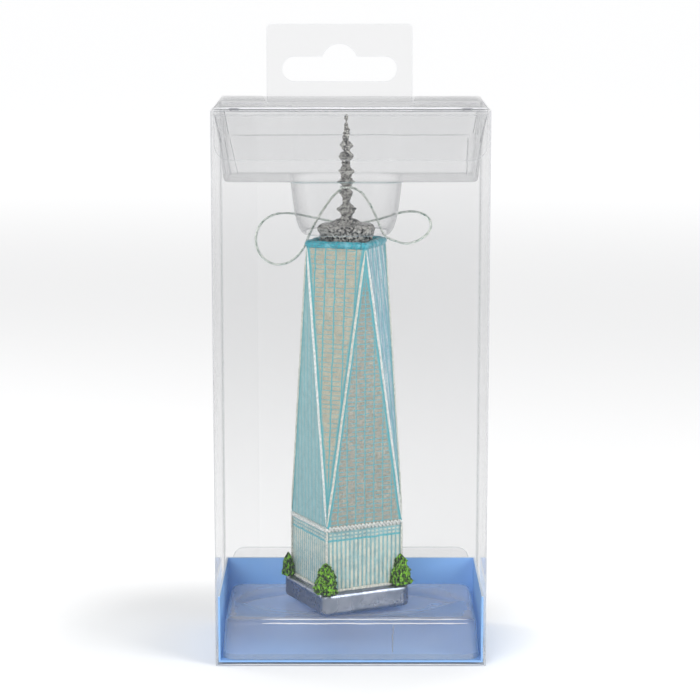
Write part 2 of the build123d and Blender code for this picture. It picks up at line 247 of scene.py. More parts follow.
def mixColour(tree, share, first, second):
    node = tree.nodes.new("ShaderNodeMix")
    node.data_type = "RGBA"
    feed(tree, share, node.inputs[0])
    feed(tree, first, node.inputs[6])
    feed(tree, second, node.inputs[7])
    return node.outputs[2]


def place(tree):
    return tree.nodes.new("ShaderNodeTexCoord").outputs["Object"]


def stretched(tree, vector, scale):
    node = tree.nodes.new("ShaderNodeVectorMath")
    node.operation = "MULTIPLY"
    feed(tree, vector, node.inputs[0])
    node.inputs[1].default_value = scale
    return node.outputs[0]


def alongAxis(tree, vector, axis):
    node = tree.nodes.new("ShaderNodeVectorMath")
    node.operation = "DOT_PRODUCT"
    feed(tree, vector, node.inputs[0])
    node.inputs[1].default_value = axis
    return node.outputs["Value"]


def noiseOf(tree, vector, size, detail=2.0):
    node = tree.nodes.new("ShaderNodeTexNoise")
    feed(tree, vector, node.inputs["Vector"])
    node.inputs["Scale"].default_value = 1 / size
    node.inputs["Detail"].default_value = detail
    return node.outputs["Fac"]


def cellsOf(tree, vector, size, output="Color"):
    node = tree.nodes.new("ShaderNodeTexVoronoi")
    feed(tree, vector, node.inputs["Vector"])
    node.inputs["Scale"].default_value = 1 / size
    return node.outputs[output]


def addBump(tree, shader, height, distance, strength=1.0, coat=False):
    node = tree.nodes.new("ShaderNodeBump")
    node.inputs["Strength"].default_value = strength
    node.inputs["Distance"].default_value = distance
    feed(tree, height, node.inputs["Height"])
    tree.links.new(node.outputs["Normal"], shader.inputs["Normal"])
    if coat:
        tree.links.new(node.outputs["Normal"], shader.inputs["Coat Normal"])


def facing(tree):
    node = tree.nodes.new("ShaderNodeLayerWeight")
    node.inputs["Blend"].default_value = 0.5
    return node.outputs["Facing"]


# stage, camera, light
view = {"place": (-0.0002, -0.5869, 0.1795), "pitchDown": 9.34, "lens": 111.8}
studio = {"nearGlow": 0.03, "midGlow": (0.05, 0.085, 0.18), "farGlow": (0.3, 1.6, 0.37),
          "shadeAt": (-0.022, 0, 0), "floorSize": 60.0,
          "floorColour": (0.9, 0.9, 0.9), "sky": 0.5, "horizon": 2.2, "key": 4.2, "fill": 5.5, "rim": 1.1,
          "top": 0.5,
          "lampTarget": (0, 0, 0.075)}


def makeCamera():
    data = bpy.data.cameras.new("mainCamera")
    data.lens = view["lens"]
    data.sensor_width = 36
    data.clip_start, data.clip_end = 0.01, 100
    camera = bpy.data.objects.new("mainCamera", data)
    camera.location = view["place"]
    camera.rotation_euler = (math.radians(90 - view["pitchDown"]), 0, 0)
    bpy.context.collection.objects.link(camera)
    bpy.context.scene.camera = camera


def makeStage():
    size = studio["floorSize"]
    mesh = bpy.data.meshes.new("studioFloor")
    mesh.from_pydata([(-size, -size, 0), (size, -size, 0), (size, size, 0), (-size, size, 0)], [],
                     [(0, 1, 2, 3)])
    floor = bpy.data.objects.new("studioFloor", mesh)
    floor.location.z = cadLow.z - 0.05 * mm
    bpy.context.collection.objects.link(floor)
    material, tree, shader = startMaterial("paperWhite", colour=studio["floorColour"], rough=0.9,
                                           specular=0.1)
    shader.inputs["Emission Color"].default_value = (1, 1, 1, 1)
    # the paper glows more away from the carton, where the lamps no longer reach
    away = tree.nodes.new("ShaderNodeVectorMath")
    away.operation = "LENGTH"
    shifted = tree.nodes.new("ShaderNodeVectorMath")
    shifted.operation = "SUBTRACT"
    feed(tree, place(tree), shifted.inputs[0])
    shifted.inputs[1].default_value = studio["shadeAt"]
    feed(tree, shifted.outputs[0], away.inputs[0])
    (midFrom, midTo, midRise), (farFrom, farTo, farRise) = studio["midGlow"], studio["farGlow"]
    glow = plus(tree, rescale(tree, away.outputs["Value"], midFrom, midTo, studio["nearGlow"],
                                      studio["nearGlow"] + midRise, smooth=True),
                 rescale(tree, away.outputs["Value"], farFrom, farTo, 0, farRise, smooth=True))
    feed(tree, glow, shader.inputs["Emission Strength"])
    mesh.materials.append(material)
    world = bpy.data.worlds.new("softSky")
    world.use_nodes = True
    bpy.context.scene.world = world
    nodes, links = world.node_tree.nodes, world.node_tree.links
    background = nodes["Background"]
    background.inputs["Strength"].default_value = studio["sky"]
    ramp = nodes.new("ShaderNodeValToRGB")
    ramp.color_ramp.elements[0].position = 0.0
    ramp.color_ramp.elements[0].color = (studio["horizon"],) * 3 + (1,)
    low = ramp.color_ramp.elements.new(0.05)
    low.color = (1.25, 1.25, 1.27, 1)
    ramp.color_ramp.elements[1].position = 1.0
    ramp.color_ramp.elements[1].color = (1.0, 1.0, 1.0, 1)
    middle = ramp.color_ramp.elements.new(0.3)
    middle.color = (0.70, 0.71, 0.73, 1)
    coordinates = nodes.new("ShaderNodeTexCoord")
    split = nodes.new("ShaderNodeSeparateXYZ")
    links.new(coordinates.outputs["Generated"], split.inputs[0])
    links.new(split.outputs["Z"], ramp.inputs[0])
    links.new(ramp.outputs[0], background.inputs["Color"])


def makeLight(name, at, size, energy):
    data = bpy.data.lights.new(name, "AREA")
    data.shape = "RECTANGLE"
    data.size, data.size_y = size
    data.energy = energy
    light = bpy.data.objects.new(name, data)
    light.location = at
    light.rotation_euler = (Vector(studio["lampTarget"]) - Vector(at)).to_track_quat("-Z", "Y").to_euler()
    bpy.context.collection.objects.link(light)


print("stage, camera and light")
makeCamera()
makeStage()
makeLight("keySoftbox", (0.62, -0.42, 0.42), (0.35, 0.5), studio["key"])
makeLight("fillSoftbox", (-0.38, -0.78, 0.5), (0.7, 0.5), studio["fill"])
makeLight("rimSoftbox", (-0.55, 0.25, 0.40), (0.2, 0.6), studio["rim"])
makeLight("topSoftbox", (0.0, 0.1, 0.85), (0.6, 0.4), studio["top"])
bpy.context.scene.view_settings.view_transform = "Standard"


# metallic hanging thread
thread = {"diameter": 0.6 * mm, "length": 0.139, "strands": 3, "pitch": 1.5 * mm, "turnSteps": 10,
          "sides": 6,
          "light": (0.90, 0.91, 0.87), "dark": (0.10, 0.20, 0.16)}
threadRoute = [
    (-1.7, 2.3, 127.4), (-4.3, 3.1, 125.8), (-7.2, 3.6, 121.6), (-9.6, 3.4, 117.8),
    (-11.5, 2.6, 114.0), (-12.8, 1.2, 110.6), (-15.8, 0.0, 107.4), (-20.2, -0.6, 106.2),
    (-24.4, -0.4, 108.4), (-26.2, 0.2, 113.2), (-24.6, 1.8, 117.8), (-21.0, 5.2, 119.8),
    (-17.2, 10.2, 119.6), (-12.9, 15.0, 118.4), (-6.8, 16.8, 116.8), (0.4, 17.2, 115.6),
    (7.0, 16.6, 116.9), (11.8, 13.4, 118.8), (15.0, 8.6, 120.2), (18.4, 4.2, 120.6),
    (21.4, 1.2, 119.3), (22.0, -0.2, 116.2), (19.4, -0.8, 113.6), (15.2, -0.4, 112.0),
    (11.9, 0.6, 112.9), (9.0, 1.7, 114.1), (7.8, 2.7, 117.2), (5.4, 3.5, 122.6),
    (2.4, 3.1, 126.8), (0.0, 2.4, 127.2)]


def makeThreadMetal():
    material, tree, shader = startMaterial("threadMetal", metal=0.55, rough=0.38)
    flakes = cellsOf(tree, place(tree), 0.25 * mm)
    glint = rescale(tree, alongAxis(tree, flakes, (0.4, 0.4, 0.2)), 0.25, 0.62)
    feed(tree, mixColour(tree, glint, thread["dark"], thread["light"]), shader.inputs["Base Color"])
    addBump(tree, shader, noiseOf(tree, place(tree), 0.1 * mm), 0.04 * mm)
    return material


def routeLine(name, points):
    # the smooth line that the thread follows, as points close together
    curve = bpy.data.curves.new(name, "CURVE")
    curve.dimensions = "3D"
    curve.resolution_u = 10
    spline = curve.splines.new("NURBS")
    spline.points.add(len(points) - 1)
    for point, at in zip(spline.points, points):
        point.co = (*(value * mm for value in at), 1)
    spline.order_u = 3
    spline.use_endpoint_u = True
    line = bpy.data.objects.new(name, curve)
    bpy.context.collection.objects.link(line)
    mesh = bpy.data.meshes.new_from_object(line)
    path = [v.co.copy() for v in mesh.vertices]
    bpy.data.objects.remove(line)
    bpy.data.meshes.remove(mesh)
    return path


def evenly(path, gap):
    # the same line with points at an even distance
    lengths = [0.0]
    for a, b in zip(path, path[1:]):
        lengths.append(lengths[-1] + (b - a).length)
    count = max(2, round(lengths[-1] / gap))
    result, i = [], 0
    for step in range(count + 1):
        wanted = lengths[-1] * step / count
        while i < len(path) - 2 and lengths[i + 1] < wanted:
            i += 1
        run = lengths[i + 1] - lengths[i]
        result.append(path[i].lerp(path[i + 1], (wanted - lengths[i]) / run if run else 0))
    return result, lengths[-1]


def twistedStrands(path, count, radius, pitch, sides, swell=None):
    # round strands laid round a line: each one's centre turns about it once per pitch
    strand = radius / (1 + 1 / math.sin(math.pi / count)) if count > 1 else radius
    offset = radius - strand
    points, faces = [], []
    frames, side = [], Vector((0, 0, 1))
    for i, at in enumerate(path):
        ahead = (path[min(i + 1, len(path) - 1)] - path[max(i - 1, 0)]).normalized()
        side = (side - ahead * side.dot(ahead)).normalized()
        frames.append((at, side, ahead.cross(side)))
    gap = (path[1] - path[0]).length
    for number in range(count):
        start = len(points)
        for i, (at, across, up) in enumerate(frames):
            turnAngle = 2 * math.pi * (i * gap / pitch + number / count)
            centre = at + (across * math.cos(turnAngle) + up * math.sin(turnAngle)) * offset
            thick = strand * (swell(i) if swell else 1)
            for k in range(sides):
                angle = 2 * math.pi * k / sides
                points.append(centre + (across * math.cos(angle) + up * math.sin(angle)) * thick)
        faces += [tuple(start + v for v in face) for face in bridge(len(frames), sides)]
        faces.append(tuple(start + k for k in reversed(range(sides))))
        faces.append(tuple(len(points) - sides + k for k in range(sides)))
    return points, faces


def makeThread():
    metal = makeThreadMetal()
    path, length = evenly(routeLine("threadLine", threadRoute), thread["pitch"] / thread["turnSteps"])
    print("thread length", round(length / mm, 1), "mm")
    points, faces = twistedStrands(path, thread["strands"], 0.6 * thread["diameter"], thread["pitch"],
                                   thread["sides"])
    loop = addPiece("hangingThread", points, faces, [metal], "carton", ["hanging_cord"])
    knotLow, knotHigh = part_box("cord_knot")
    middle = (knotLow + knotHigh) / 2
    ringRadius = (knotHigh.x - knotLow.x - thread["diameter"]) / 2
    centre = Vector((middle.x, knotLow.y + ringRadius + thread["diameter"] / 2, middle.z))
    turns = []
    for i in range(181):  # one turn round the mast, then two overhand wraps behind it
        angle = math.radians(90 + i * 2)
        turns.append(centre + Vector((ringRadius * math.cos(angle), ringRadius * math.sin(angle), 0.1 * mm)))
    for i in range(60):
        angle = math.radians(i * 12)
        knotCentre = Vector((centre.x, knotHigh.y - 0.8 * mm, middle.z))
        turns.append(knotCentre + Vector((0.42 * mm * math.cos(angle), 0.25 * mm * math.sin(angle * 0.5),
                                          0.42 * mm * math.sin(angle))))
    turnPath, _ = evenly(turns, 0.15 * mm)
    points, faces = twistedStrands(turnPath, 3, 0.28 * mm, thread["pitch"], 6)
    knot = addPiece("threadKnot", points, faces, [metal], "carton", ["cord_knot"])


print("hanging thread")
makeThread()


# clear sheets
film = {"grey": (0.09, 0.095, 0.105), "haze": 0.128, "rise": 0.48, "fallOff": 2.6, "rough": 0.07,
        "wave": 6 * mm}


def makeFilm(name, grey=film["grey"], haze=film["haze"], rise=film["rise"], fallOff=film["fallOff"],
             rough=film["rough"], wave=0.05 * mm, dust=0.02):
    # clear plastic as one skin: see-through face on, denser and shinier where it turns away
    material, tree, shader = startMaterial(name, rough=rough, specular=1.0, coat=0.6, coatRough=0.03,
                                           ior=1.5)
    where = place(tree)
    cloud = rescale(tree, noiseOf(tree, where, 9 * mm, 3.0), 0.3, 0.7)
    feed(tree, mixColour(tree, cloud, grey, tuple(c * 1.15 for c in grey)), shader.inputs["Base Color"])
    turned = maths(tree, "POWER", facing(tree), fallOff)
    scuff = rescale(tree, noiseOf(tree, stretched(tree, where, (1, 1, 0.15)), 0.5 * mm, 3.0), 0.62, 0.8, 0,
                    dust)
    opacity = plus(tree, times(tree, turned, rise), plus(tree, scuff, haze), clamp=True)
    feed(tree, rescale(tree, cloud, 0, 1, rough, rough * 1.8), shader.inputs["Roughness"])
    addBump(tree, shader, noiseOf(tree, where, film["wave"], 1.0), wave, coat=True)
    clear = tree.nodes.new("ShaderNodeBsdfTransparent")
    blend = tree.nodes.new("ShaderNodeMixShader")
    feed(tree, opacity, blend.inputs[0])
    tree.links.new(clear.outputs[0], blend.inputs[1])
    tree.links.new(shader.outputs[0], blend.inputs[2])
    tree.links.new(blend.outputs[0], tree.nodes["Material Output"].inputs["Surface"])
    return material


print("clear sheets")
clearFilm = makeFilm("clearFilm")
filmEdge = makeFilm("filmEdge", grey=(0.42, 0.43, 0.45), haze=0.38, rise=0.4)
filmFold = makeFilm("filmFold", grey=(0.30, 0.31, 0.33), haze=0.34, rise=0.55, fallOff=1.2)
# painted highlight: the white line that a scored fold shows where it catches the light
creaseHighlight = makeFilm("creaseHighlight", grey=(0.86, 0.87, 0.89), haze=0.5, rise=0.3, rough=0.3)
trayFilm = makeFilm("trayFilm", grey=(0.20, 0.205, 0.22), haze=0.095, rise=0.62, fallOff=2.0, wave=0.12 * mm)
flapFilm = makeFilm("flapFilm", haze=0.05, rise=0.3)

frontLow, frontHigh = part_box("front_panel")
skin = 0.175 * mm  # half the sheet, from the outside to the middle of it
cartonTop = frontHigh.z
cartonFront, cartonBack = frontLow.y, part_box("back_panel")[1].y
cartonLeft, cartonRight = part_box("left_panel")[0].x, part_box("right_panel")[1].x

sleeve = {"face": 0.03 * mm, "foldRadius": 0.5 * mm, "rows": 44, "sideSteps": 16, "bow": 0.32 * mm,
          "ripple": 0.05 * mm}


def makeSleeve():
    # four walls folded from one sheet, each a little bowed in between its folds
    width = cartonRight - cartonLeft - 2 * sleeve["face"]
    depth = cartonBack - cartonFront - 2 * sleeve["face"]
    middleX, middleY = (cartonLeft + cartonRight) / 2, (cartonFront + cartonBack) / 2
    plan = roundedRing(width, depth, sleeve["foldRadius"], 4, sleeve["sideSteps"])
    points, rows = [], sleeve["rows"]
    for row in range(rows + 1):
        z = cartonTop * row / rows
        upBow = math.sin(math.pi * row / rows)
        for x, y, onFold in plan:
            onLongWall = abs(y) > depth / 2 - 0.1 * mm
            across = math.cos(math.pi * x / width) if onLongWall else math.cos(math.pi * y / depth)
            ripple = noise.noise(Vector((x * 60, y * 60, z * 25))) * sleeve["ripple"]
            inward = 0 if onFold else max(0, (sleeve["bow"] * upBow + ripple) * max(0, across))
            if onLongWall:
                y -= math.copysign(inward, y)
            else:
                x -= math.copysign(inward, x)
            points.append((middleX + x, middleY + y, z))
    faces = bridge(rows + 1, len(plan))
    # the faces on the rounded folds take filmFold, darker and denser than the walls: painted shade along the
    # folds
    slots = []
    for face in faces:
        i, j = face[0] % len(plan), face[1] % len(plan)
        slots.append(1 if plan[i][2] and plan[j][2] else 0)
    addPiece("cartonSleeve", points, faces, [clearFilm, filmFold], "carton",
             ["front_panel", "back_panel", "left_panel", "right_panel"], slots=slots)


def makeRod(name, start, end, radius, material, body, wobble=0.0, steps=40):
    # a scored line or a cut edge: a fine rod, thinning at both ends
    sides = 8
    start, end = Vector(start), Vector(end)
    ahead = (end - start).normalized()
    across = ahead.orthogonal().normalized()
    up = ahead.cross(across)
    points = []
    for i in range(steps + 1):
        share = i / steps
        thick = radius * min(1, 0.35 + 9 * min(share, 1 - share))
        centre = start.lerp(end, share) + across * noise.noise(Vector((share * 9, radius * 4e4, 3))) * wobble
        for k in range(sides):
            angle = 2 * math.pi * k / sides
            points.append(centre + (across * math.cos(angle) + up * math.sin(angle)) * thick)
    faces = bridge(steps + 1, sides)
    faces += [tuple(reversed(range(sides))), tuple(len(points) - sides + k for k in range(sides))]
    return addPiece(name, points, faces, [material], body)


def makeLevelRod(name, fromX, toX, y, z, radius, material, body, **settings):
    return makeRod(name, (fromX, y, z), (toX, y, z), radius, material, body, **settings)


def makeCreases():
    # painted highlight: a white line along each scored fold, where the bent sheet catches the light
    inset = 0.9 * mm
    y = cartonFront + skin + 0.1 * mm
    left, right = cartonLeft + inset, cartonRight - inset
    makeLevelRod("frontCutEdge", left, right, y, cartonTop - 0.25 * mm, 0.13 * mm, filmFold, "carton")
    makeLevelRod("baseCrease", left, right, y + 0.1 * mm, 0.35 * mm, 0.2 * mm, creaseHighlight, "carton")
    backY = cartonBack - skin - 0.12 * mm
    for name, fromX, toX in (("backCreaseLeft", left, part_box("hang_tab")[0].x - 0.4 * mm),
                             ("backCreaseRight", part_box("hang_tab")[1].x + 0.4 * mm, right)):
        makeLevelRod(name, fromX, toX, backY, cartonTop - 0.2 * mm, 0.18 * mm, creaseHighlight, "carton")


lid = {"tabHeight": 21.6 * mm, "kerf": 0.25 * mm, "cutCorner": 1.4 * mm, "curl": 1.5 * mm,
       "curlRun": 1.5 * mm}


def makeLid():
    # a panel sprung into a low arch, with the cut-out that the hang tab was cut from
    low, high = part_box("lid_panel")
    tabLow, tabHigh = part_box("hang_tab")
    front, back, rise = low.y, high.y, high.z - low.z - 2 * skin
    chord = back - front
    radius = (chord ** 2 / 4 + rise ** 2) / (2 * rise)
    reach = math.asin(chord / 2 / radius)
    inset = 0.2 * mm
    cutFront = back - lid["tabHeight"] - lid["kerf"]
    corners = [(low.x + inset, front), (high.x - inset, front), (high.x - inset, back),
               (tabHigh.x + lid["kerf"], back),
               (tabHigh.x + lid["kerf"], cutFront), (tabLow.x - lid["kerf"], cutFront),
               (tabLow.x - lid["kerf"], back),
               (low.x + inset, back)]
    corner = lid["cutCorner"]
    outline = roundedOutline(corners, [0.6 * mm, 0.6 * mm, 0.6 * mm, 0, corner, corner, 0, 0.6 * mm])
    flat, faces, slots = flatSheet(outline, spacing=1.6 * mm)
    points = []
    for p in flat:
        angle = reach * (p.y - (front + back) / 2) / (chord / 2)
        lift = low.z + skin + rise - radius + radius * math.cos(angle)
        fromEnd = min(p.x - low.x, high.x - p.x)
        curl = lid["curl"] * max(0, 1 - fromEnd / lid["curlRun"]) ** 2 * max(0, (lift - low.z) / rise)
        wave = 0.10 * mm * noise.noise(Vector((p.x * 70, p.y * 70, 1))) * max(0, (lift - low.z) / rise)
        points.append((p.x, (front + back) / 2 + radius * math.sin(angle),
                       max(low.z + 0.05 * mm, lift - curl + wave)))
    addPiece("lidArch", points, faces, [clearFilm, filmEdge], "lid", ["lid_panel"], slots=slots)
    y = front + 0.12 * mm
    z = low.z + 0.16 * mm
    left, right = low.x + 0.8 * mm, high.x - 0.8 * mm
    # painted shade and painted highlight along the lid's front fold: a dark line at the fold, a white one
    # just above it
    makeLevelRod("lidCreaseShade", left, right, y, z, 0.15 * mm, foldDark, "lid", wobble=0.05 * mm)
    makeLevelRod("lidCreaseHighlight", left, right, y + 0.3 * mm, z + 0.34 * mm, 0.20 * mm, creaseHighlight, "lid",
                 wobble=0.05 * mm)
    for name, side in (("slitLockLeft", -1), ("slitLockRight", 1)):
        # the short slits that lock the tuck flap, drawn as short dark lines
        x = side * (high.x - 6.2 * mm)
        makeLevelRod(name, x - 1.4 * mm, x + 1.4 * mm, y + 0.1 * mm, z + 0.1 * mm, 0.3 * mm, foldDark, "lid",
                     wobble=0.2 * mm, steps=12)


def hangTabOutline():
    return boxOutline(*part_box("hang_tab"), [0, 0, 1.4 * mm, 1.4 * mm])


hangSlot = {"length": 31.8 * mm, "height": 6.7 * mm, "bumpRadius": 4.9 * mm, "bumpRise": 3.5 * mm,
            "base": 5.8 * mm}


def hangSlotOutline():
    # a long slot with round ends, and a round bump at the middle of its upper edge
    low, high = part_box("hang_tab")
    middle, half = (low.x + high.x) / 2, hangSlot["height"] / 2
    centre = low.z + hangSlot["base"] + half
    run = hangSlot["length"] / 2 - half
    bump, upper = hangSlot["bumpRadius"], centre + half
    bumpCentre = upper + hangSlot["bumpRise"] - bump
    start = math.asin((upper - bumpCentre) / bump)
    outline = []
    for step in range(13):
        angle = math.radians(-90 + 180 * step / 12)
        outline.append(Vector((middle + run + half * math.cos(angle), centre + half * math.sin(angle))))
    for step in range(15):
        angle = start + (math.pi - 2 * start) * step / 14
        outline.append(Vector((middle + bump * math.cos(angle), bumpCentre + bump * math.sin(angle))))
    for step in range(13):
        angle = math.radians(90 + 180 * step / 12)
        outline.append(Vector((middle - run + half * math.cos(angle), centre + half * math.sin(angle))))
    return outline


def makeHangTab():
    y = (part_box("hang_tab")[0].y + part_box("hang_tab")[1].y) / 2
    addSheet("hangTab", hangTabOutline(), y, [clearFilm, filmEdge], "tab", ["hang_tab"],
             holes=[hangSlotOutline()], edge=0.28 * mm, spacing=3 * mm)


def uprightFlap(name, node, body, radii, material):
    # a flat flap that stands behind a wall, the shape of its CAD node
    low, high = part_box(node)
    addSheet(name, boxOutline(low, high, radii), (low.y + high.y) / 2, [material, filmEdge], body, [node],
             edge=flaps["edge"], spacing=flaps["spacing"])


flaps = {"edge": 0.25 * mm, "spacing": 3 * mm, "tuckCorner": 4.0 * mm, "baseCorner": 3.5 * mm,
         "chamfer": 2.0 * mm, "taper": 0.42, "nose": 2.0 * mm}


def dustFlap(name, node, body):
    # a side flap folded in: full depth at its crease, its back edge cut back towards the tip
    low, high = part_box(node)
    root, tip = (low.x, high.x) if abs(low.x) > abs(high.x) else (high.x, low.x)
    length = high.x - low.x
    corners = [(root, low.y), (root, high.y), (tip, high.y - flaps["taper"] * length),
               (tip, low.y + flaps["nose"])]
    outline = roundedOutline(corners, [0, 0, 1.2 * mm, 1.2 * mm])
    addSheet(name, outline, (low.z + high.z) / 2, [clearFilm, filmEdge], body, [node], flat=True,
             edge=flaps["edge"], spacing=flaps["spacing"])


def makeFlaps():
    corner = flaps["tuckCorner"]
    uprightFlap("tuckFlap", "tuck_flap", "tuck", [corner, corner, 0, 0], flapFilm)
    corner = flaps["baseCorner"]
    uprightFlap("baseTuckFlap", "bottom_tuck_flap", "carton", [0, 0, corner, corner], clearFilm)
    low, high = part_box("glue_flap")
    cut = flaps["chamfer"]
    outline = [Vector(p) for p in ((low.x, low.z), (high.x - cut, low.z), (high.x, low.z + cut),
                                   (high.x, high.z - cut), (high.x - cut, high.z), (low.x, high.z))]
    addSheet("glueSeam", outline, (low.y + high.y) / 2, [glueFilm, glueFilm], "carton", ["glue_flap"],
             edge=flaps["edge"], spacing=4 * mm)
    for node, body in (("left_dust_flap", "dust_left"), ("right_dust_flap", "dust_right"),
                       ("bottom_left_dust_flap", "carton"), ("bottom_right_dust_flap", "carton")):
        words = node.split("_")
        dustFlap(words[0] + "".join(word.title() for word in words[1:]), node, body)
    low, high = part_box("bottom_panel")
    addSheet("basePanel", boxOutline(low, high, [0.5 * mm] * 4, flat=True), low.z + skin,
             [clearFilm, filmEdge], "carton", ["bottom_panel"], flat=True, spacing=4 * mm)


foldDark = makeFilm("foldDark", grey=(0.16, 0.17, 0.19), haze=0.50, rise=0.3)
glueFilm = makeFilm("glueFilm", haze=0.02, rise=0.3, dust=0.05)
print("carton")
makeSleeve()
makeCreases()
makeLid()
makeHangTab()
makeFlaps()


# trays
pan = {"rimLean": 0.75, "corner": 4.0 * mm, "flareCorner": 2.0 * mm, "footRound": 2.0 * mm,
       "flare": 7.8 * mm, "endShare": 0.36, "inShoulder": 3.3 * mm, "inFloor": 2.2 * mm,
       "grooveLeft": -15.1 * mm, "grooveRight": 12.6 * mm}
well = {"mouth": 29.6 * mm, "foot": 21.8 * mm, "bottom": 115.1 * mm, "endCorner": 6.5 * mm,
        "mouthRound": 1.1 * mm}
trayLines = {"floor": 130.1 * mm, "fine": 0.09 * mm,  # side, in at the top, in at the foot, radius
             "walls": ((-1, 1.6, 3.0, 0.08), (-1, 2.8, 4.3, 0.10), (-1, 4.2, 6.2, 0.08), (1, 5.2, 5.4, 0.13),
                       (1, 1.5, 3.0, 0.09))}
towerX = sum(corner.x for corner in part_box("crown_band")) / 2


def softStep(value, low, high):
    share = max(0.0, min(1.0, (value - low) / (high - low)))
    return share * share * (3 - 2 * share)


def grooves(x, z, shoulderZ, floorZ):
    # two flutes pressed into the front and back walls, deeper at the shoulder
    depth = 0.0
    for at, width in ((pan["grooveLeft"], 1.1 * mm), (pan["grooveRight"], 1.9 * mm)):
        away = abs(x - at)
        if away < width:
            depth = max(depth, 0.5 * (1 + math.cos(math.pi * away / width)))
    rising = 0.35 + 0.65 * softStep(z, floorZ, shoulderZ - 2 * mm)
    return depth * 0.75 * mm * rising * (1 - softStep(z, shoulderZ, shoulderZ + 3 * mm))


def makeUpperTray():
    low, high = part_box("upper_tray")
    middleX, middleY = (low.x + high.x) / 2, (low.y + high.y) / 2
    fullWidth, fullDepth = high.x - low.x, high.y - low.y
    shoulderZ = high.z - pan["flare"]
    floorZ = 130.0 * mm
    lean = pan["rimLean"]
    # (height, inset at the ends, share of that inset at the front and back, corner radius)
    levels = [(high.z - 0.02 * mm, 0.0, 1.0, 1.0 * mm), (high.z - 0.5 * mm, 0.25 * mm, 0.98, 1.2 * mm)]
    for step in range(1, 6):
        share = step / 6
        levels.append((high.z - 0.5 * mm - (pan["flare"] - 1.2 * mm) * share,
                       0.25 * mm + (pan["inShoulder"] - 0.6 * mm) * share, 0.98 - (0.98 - lean) * share,
                       1.2 * mm + (pan["flareCorner"] - 1.2 * mm) * share))
    levels += [(shoulderZ + 0.35 * mm, pan["inShoulder"] - 0.12 * mm, lean, pan["flareCorner"]),
               (shoulderZ, pan["inShoulder"], lean, pan["flareCorner"] + 0.3 * mm),
               (shoulderZ - 0.7 * mm, pan["inShoulder"] + 0.12 * mm, lean, 2.8 * mm)]
    wallRows, foot = 5, pan["footRound"]
    for step in range(1, wallRows + 1):
        share = step / wallRows
        levels.append((shoulderZ - 0.7 * mm - (shoulderZ - 0.7 * mm - floorZ - foot) * share,
                       pan["inShoulder"] + 0.12 * mm + (pan["inFloor"] - 0.5 * mm) * share, lean,
                       2.8 * mm + (pan["corner"] - 2.8 * mm) * share))
    baseInset = pan["inShoulder"] + pan["inFloor"] - 0.38 * mm
    for step in range(1, 7):
        angle = math.radians(90 * step / 6)
        levels.append((floorZ + foot - foot * math.sin(angle) + skin,
                       baseInset + foot * (1 - math.cos(angle)), lean,
                       max(1.2 * mm, pan["corner"] - foot * (1 - math.cos(angle)) * 0.6)))
    corner, side = 8, 120
    points = []
    for z, inset, share, radius in levels:
        ring = roundedRing(fullWidth - 2 * inset * pan["endShare"] - 2 * skin,
                           fullDepth - 2 * inset * share - 2 * skin, radius, corner, side)
        for x, y, onCorner in ring:
            if not onCorner and abs(y) > fullDepth / 4:
                y -= math.copysign(grooves(x, z, shoulderZ, floorZ), y)
            points.append((middleX + x, middleY + y, z))
    count = len(ring)
    # the floor runs in to the well's mouth, and the well goes down over the crown
    mouth = well["mouth"] / 2
    wellLevels = [(floorZ + skin, mouth + well["mouthRound"], well["endCorner"] + 1 * mm)]
    for step in range(1, 5):
        angle = math.radians(90 * step / 4)
        wellLevels.append((floorZ + skin - well["mouthRound"] * (1 - math.cos(angle)),
                           mouth + well["mouthRound"] * (1 - math.sin(angle)), well["endCorner"] + 0.5 * mm))
    bottom, footSide = well["bottom"], well["foot"] / 2
    for height, half, radius in ((0.80, 0.985, 6.6), (0.62, 0.965, 6.9), (0.45, 0.94, 7.2),
                                 (0.28, 0.91, 7.5),
                                 (0.16, 0.87, 7.5), (0.08, 0.83, 7.2), (0.03, 0.79, 6.9)):
        wellLevels.append((bottom + (floorZ - bottom) * height, mouth * half, radius * mm))
    wellLevels.append((bottom + skin, footSide, well["endCorner"]))
    rings = len(levels)
    for z, half, radius in wellLevels:
        for x, y, onCorner in roundedRing(2 * half, 2 * half, radius, corner, side):
            onFlutes = z < floorZ - 1 * mm and abs(y) > half * 0.8
            flute = 0.22 * mm * max(0, math.cos(x / (3.4 * mm))) ** 8 if onFlutes else 0
            points.append((towerX + x, y - math.copysign(flute, y), z))
        rings += 1
    faces = bridge(rings, count)
    slots = []
    for index in range(len(faces)):
        row = index // count
        slots.append(1 if row == 0 or row == rings - 2 else 0)
    addPiece("upperTray", points, faces, [trayFilm, filmEdge], "carton", ["upper_tray"], slots=slots)
    # the flare's mitred corners show as fine pressed lines
    for name, signX, signY in (("mitreFrontLeft", -1, -1), ("mitreFrontRight", 1, -1),
                               ("mitreBackLeft", -1, 1), ("mitreBackRight", 1, 1)):
        top = Vector((middleX + signX * (fullWidth / 2 - 0.5 * mm),
                      middleY + signY * (fullDepth / 2 - 0.5 * mm), high.z - 0.4 * mm))
        end = Vector((middleX + signX * (fullWidth / 2 - pan["inShoulder"] * pan["endShare"] - 0.8 * mm),
                      middleY + signY * (fullDepth / 2 - pan["inShoulder"] * lean - 0.8 * mm),
                      shoulderZ + 0.2 * mm))
        makeRod(name, top, end, 0.11 * mm, trayLine, "carton")


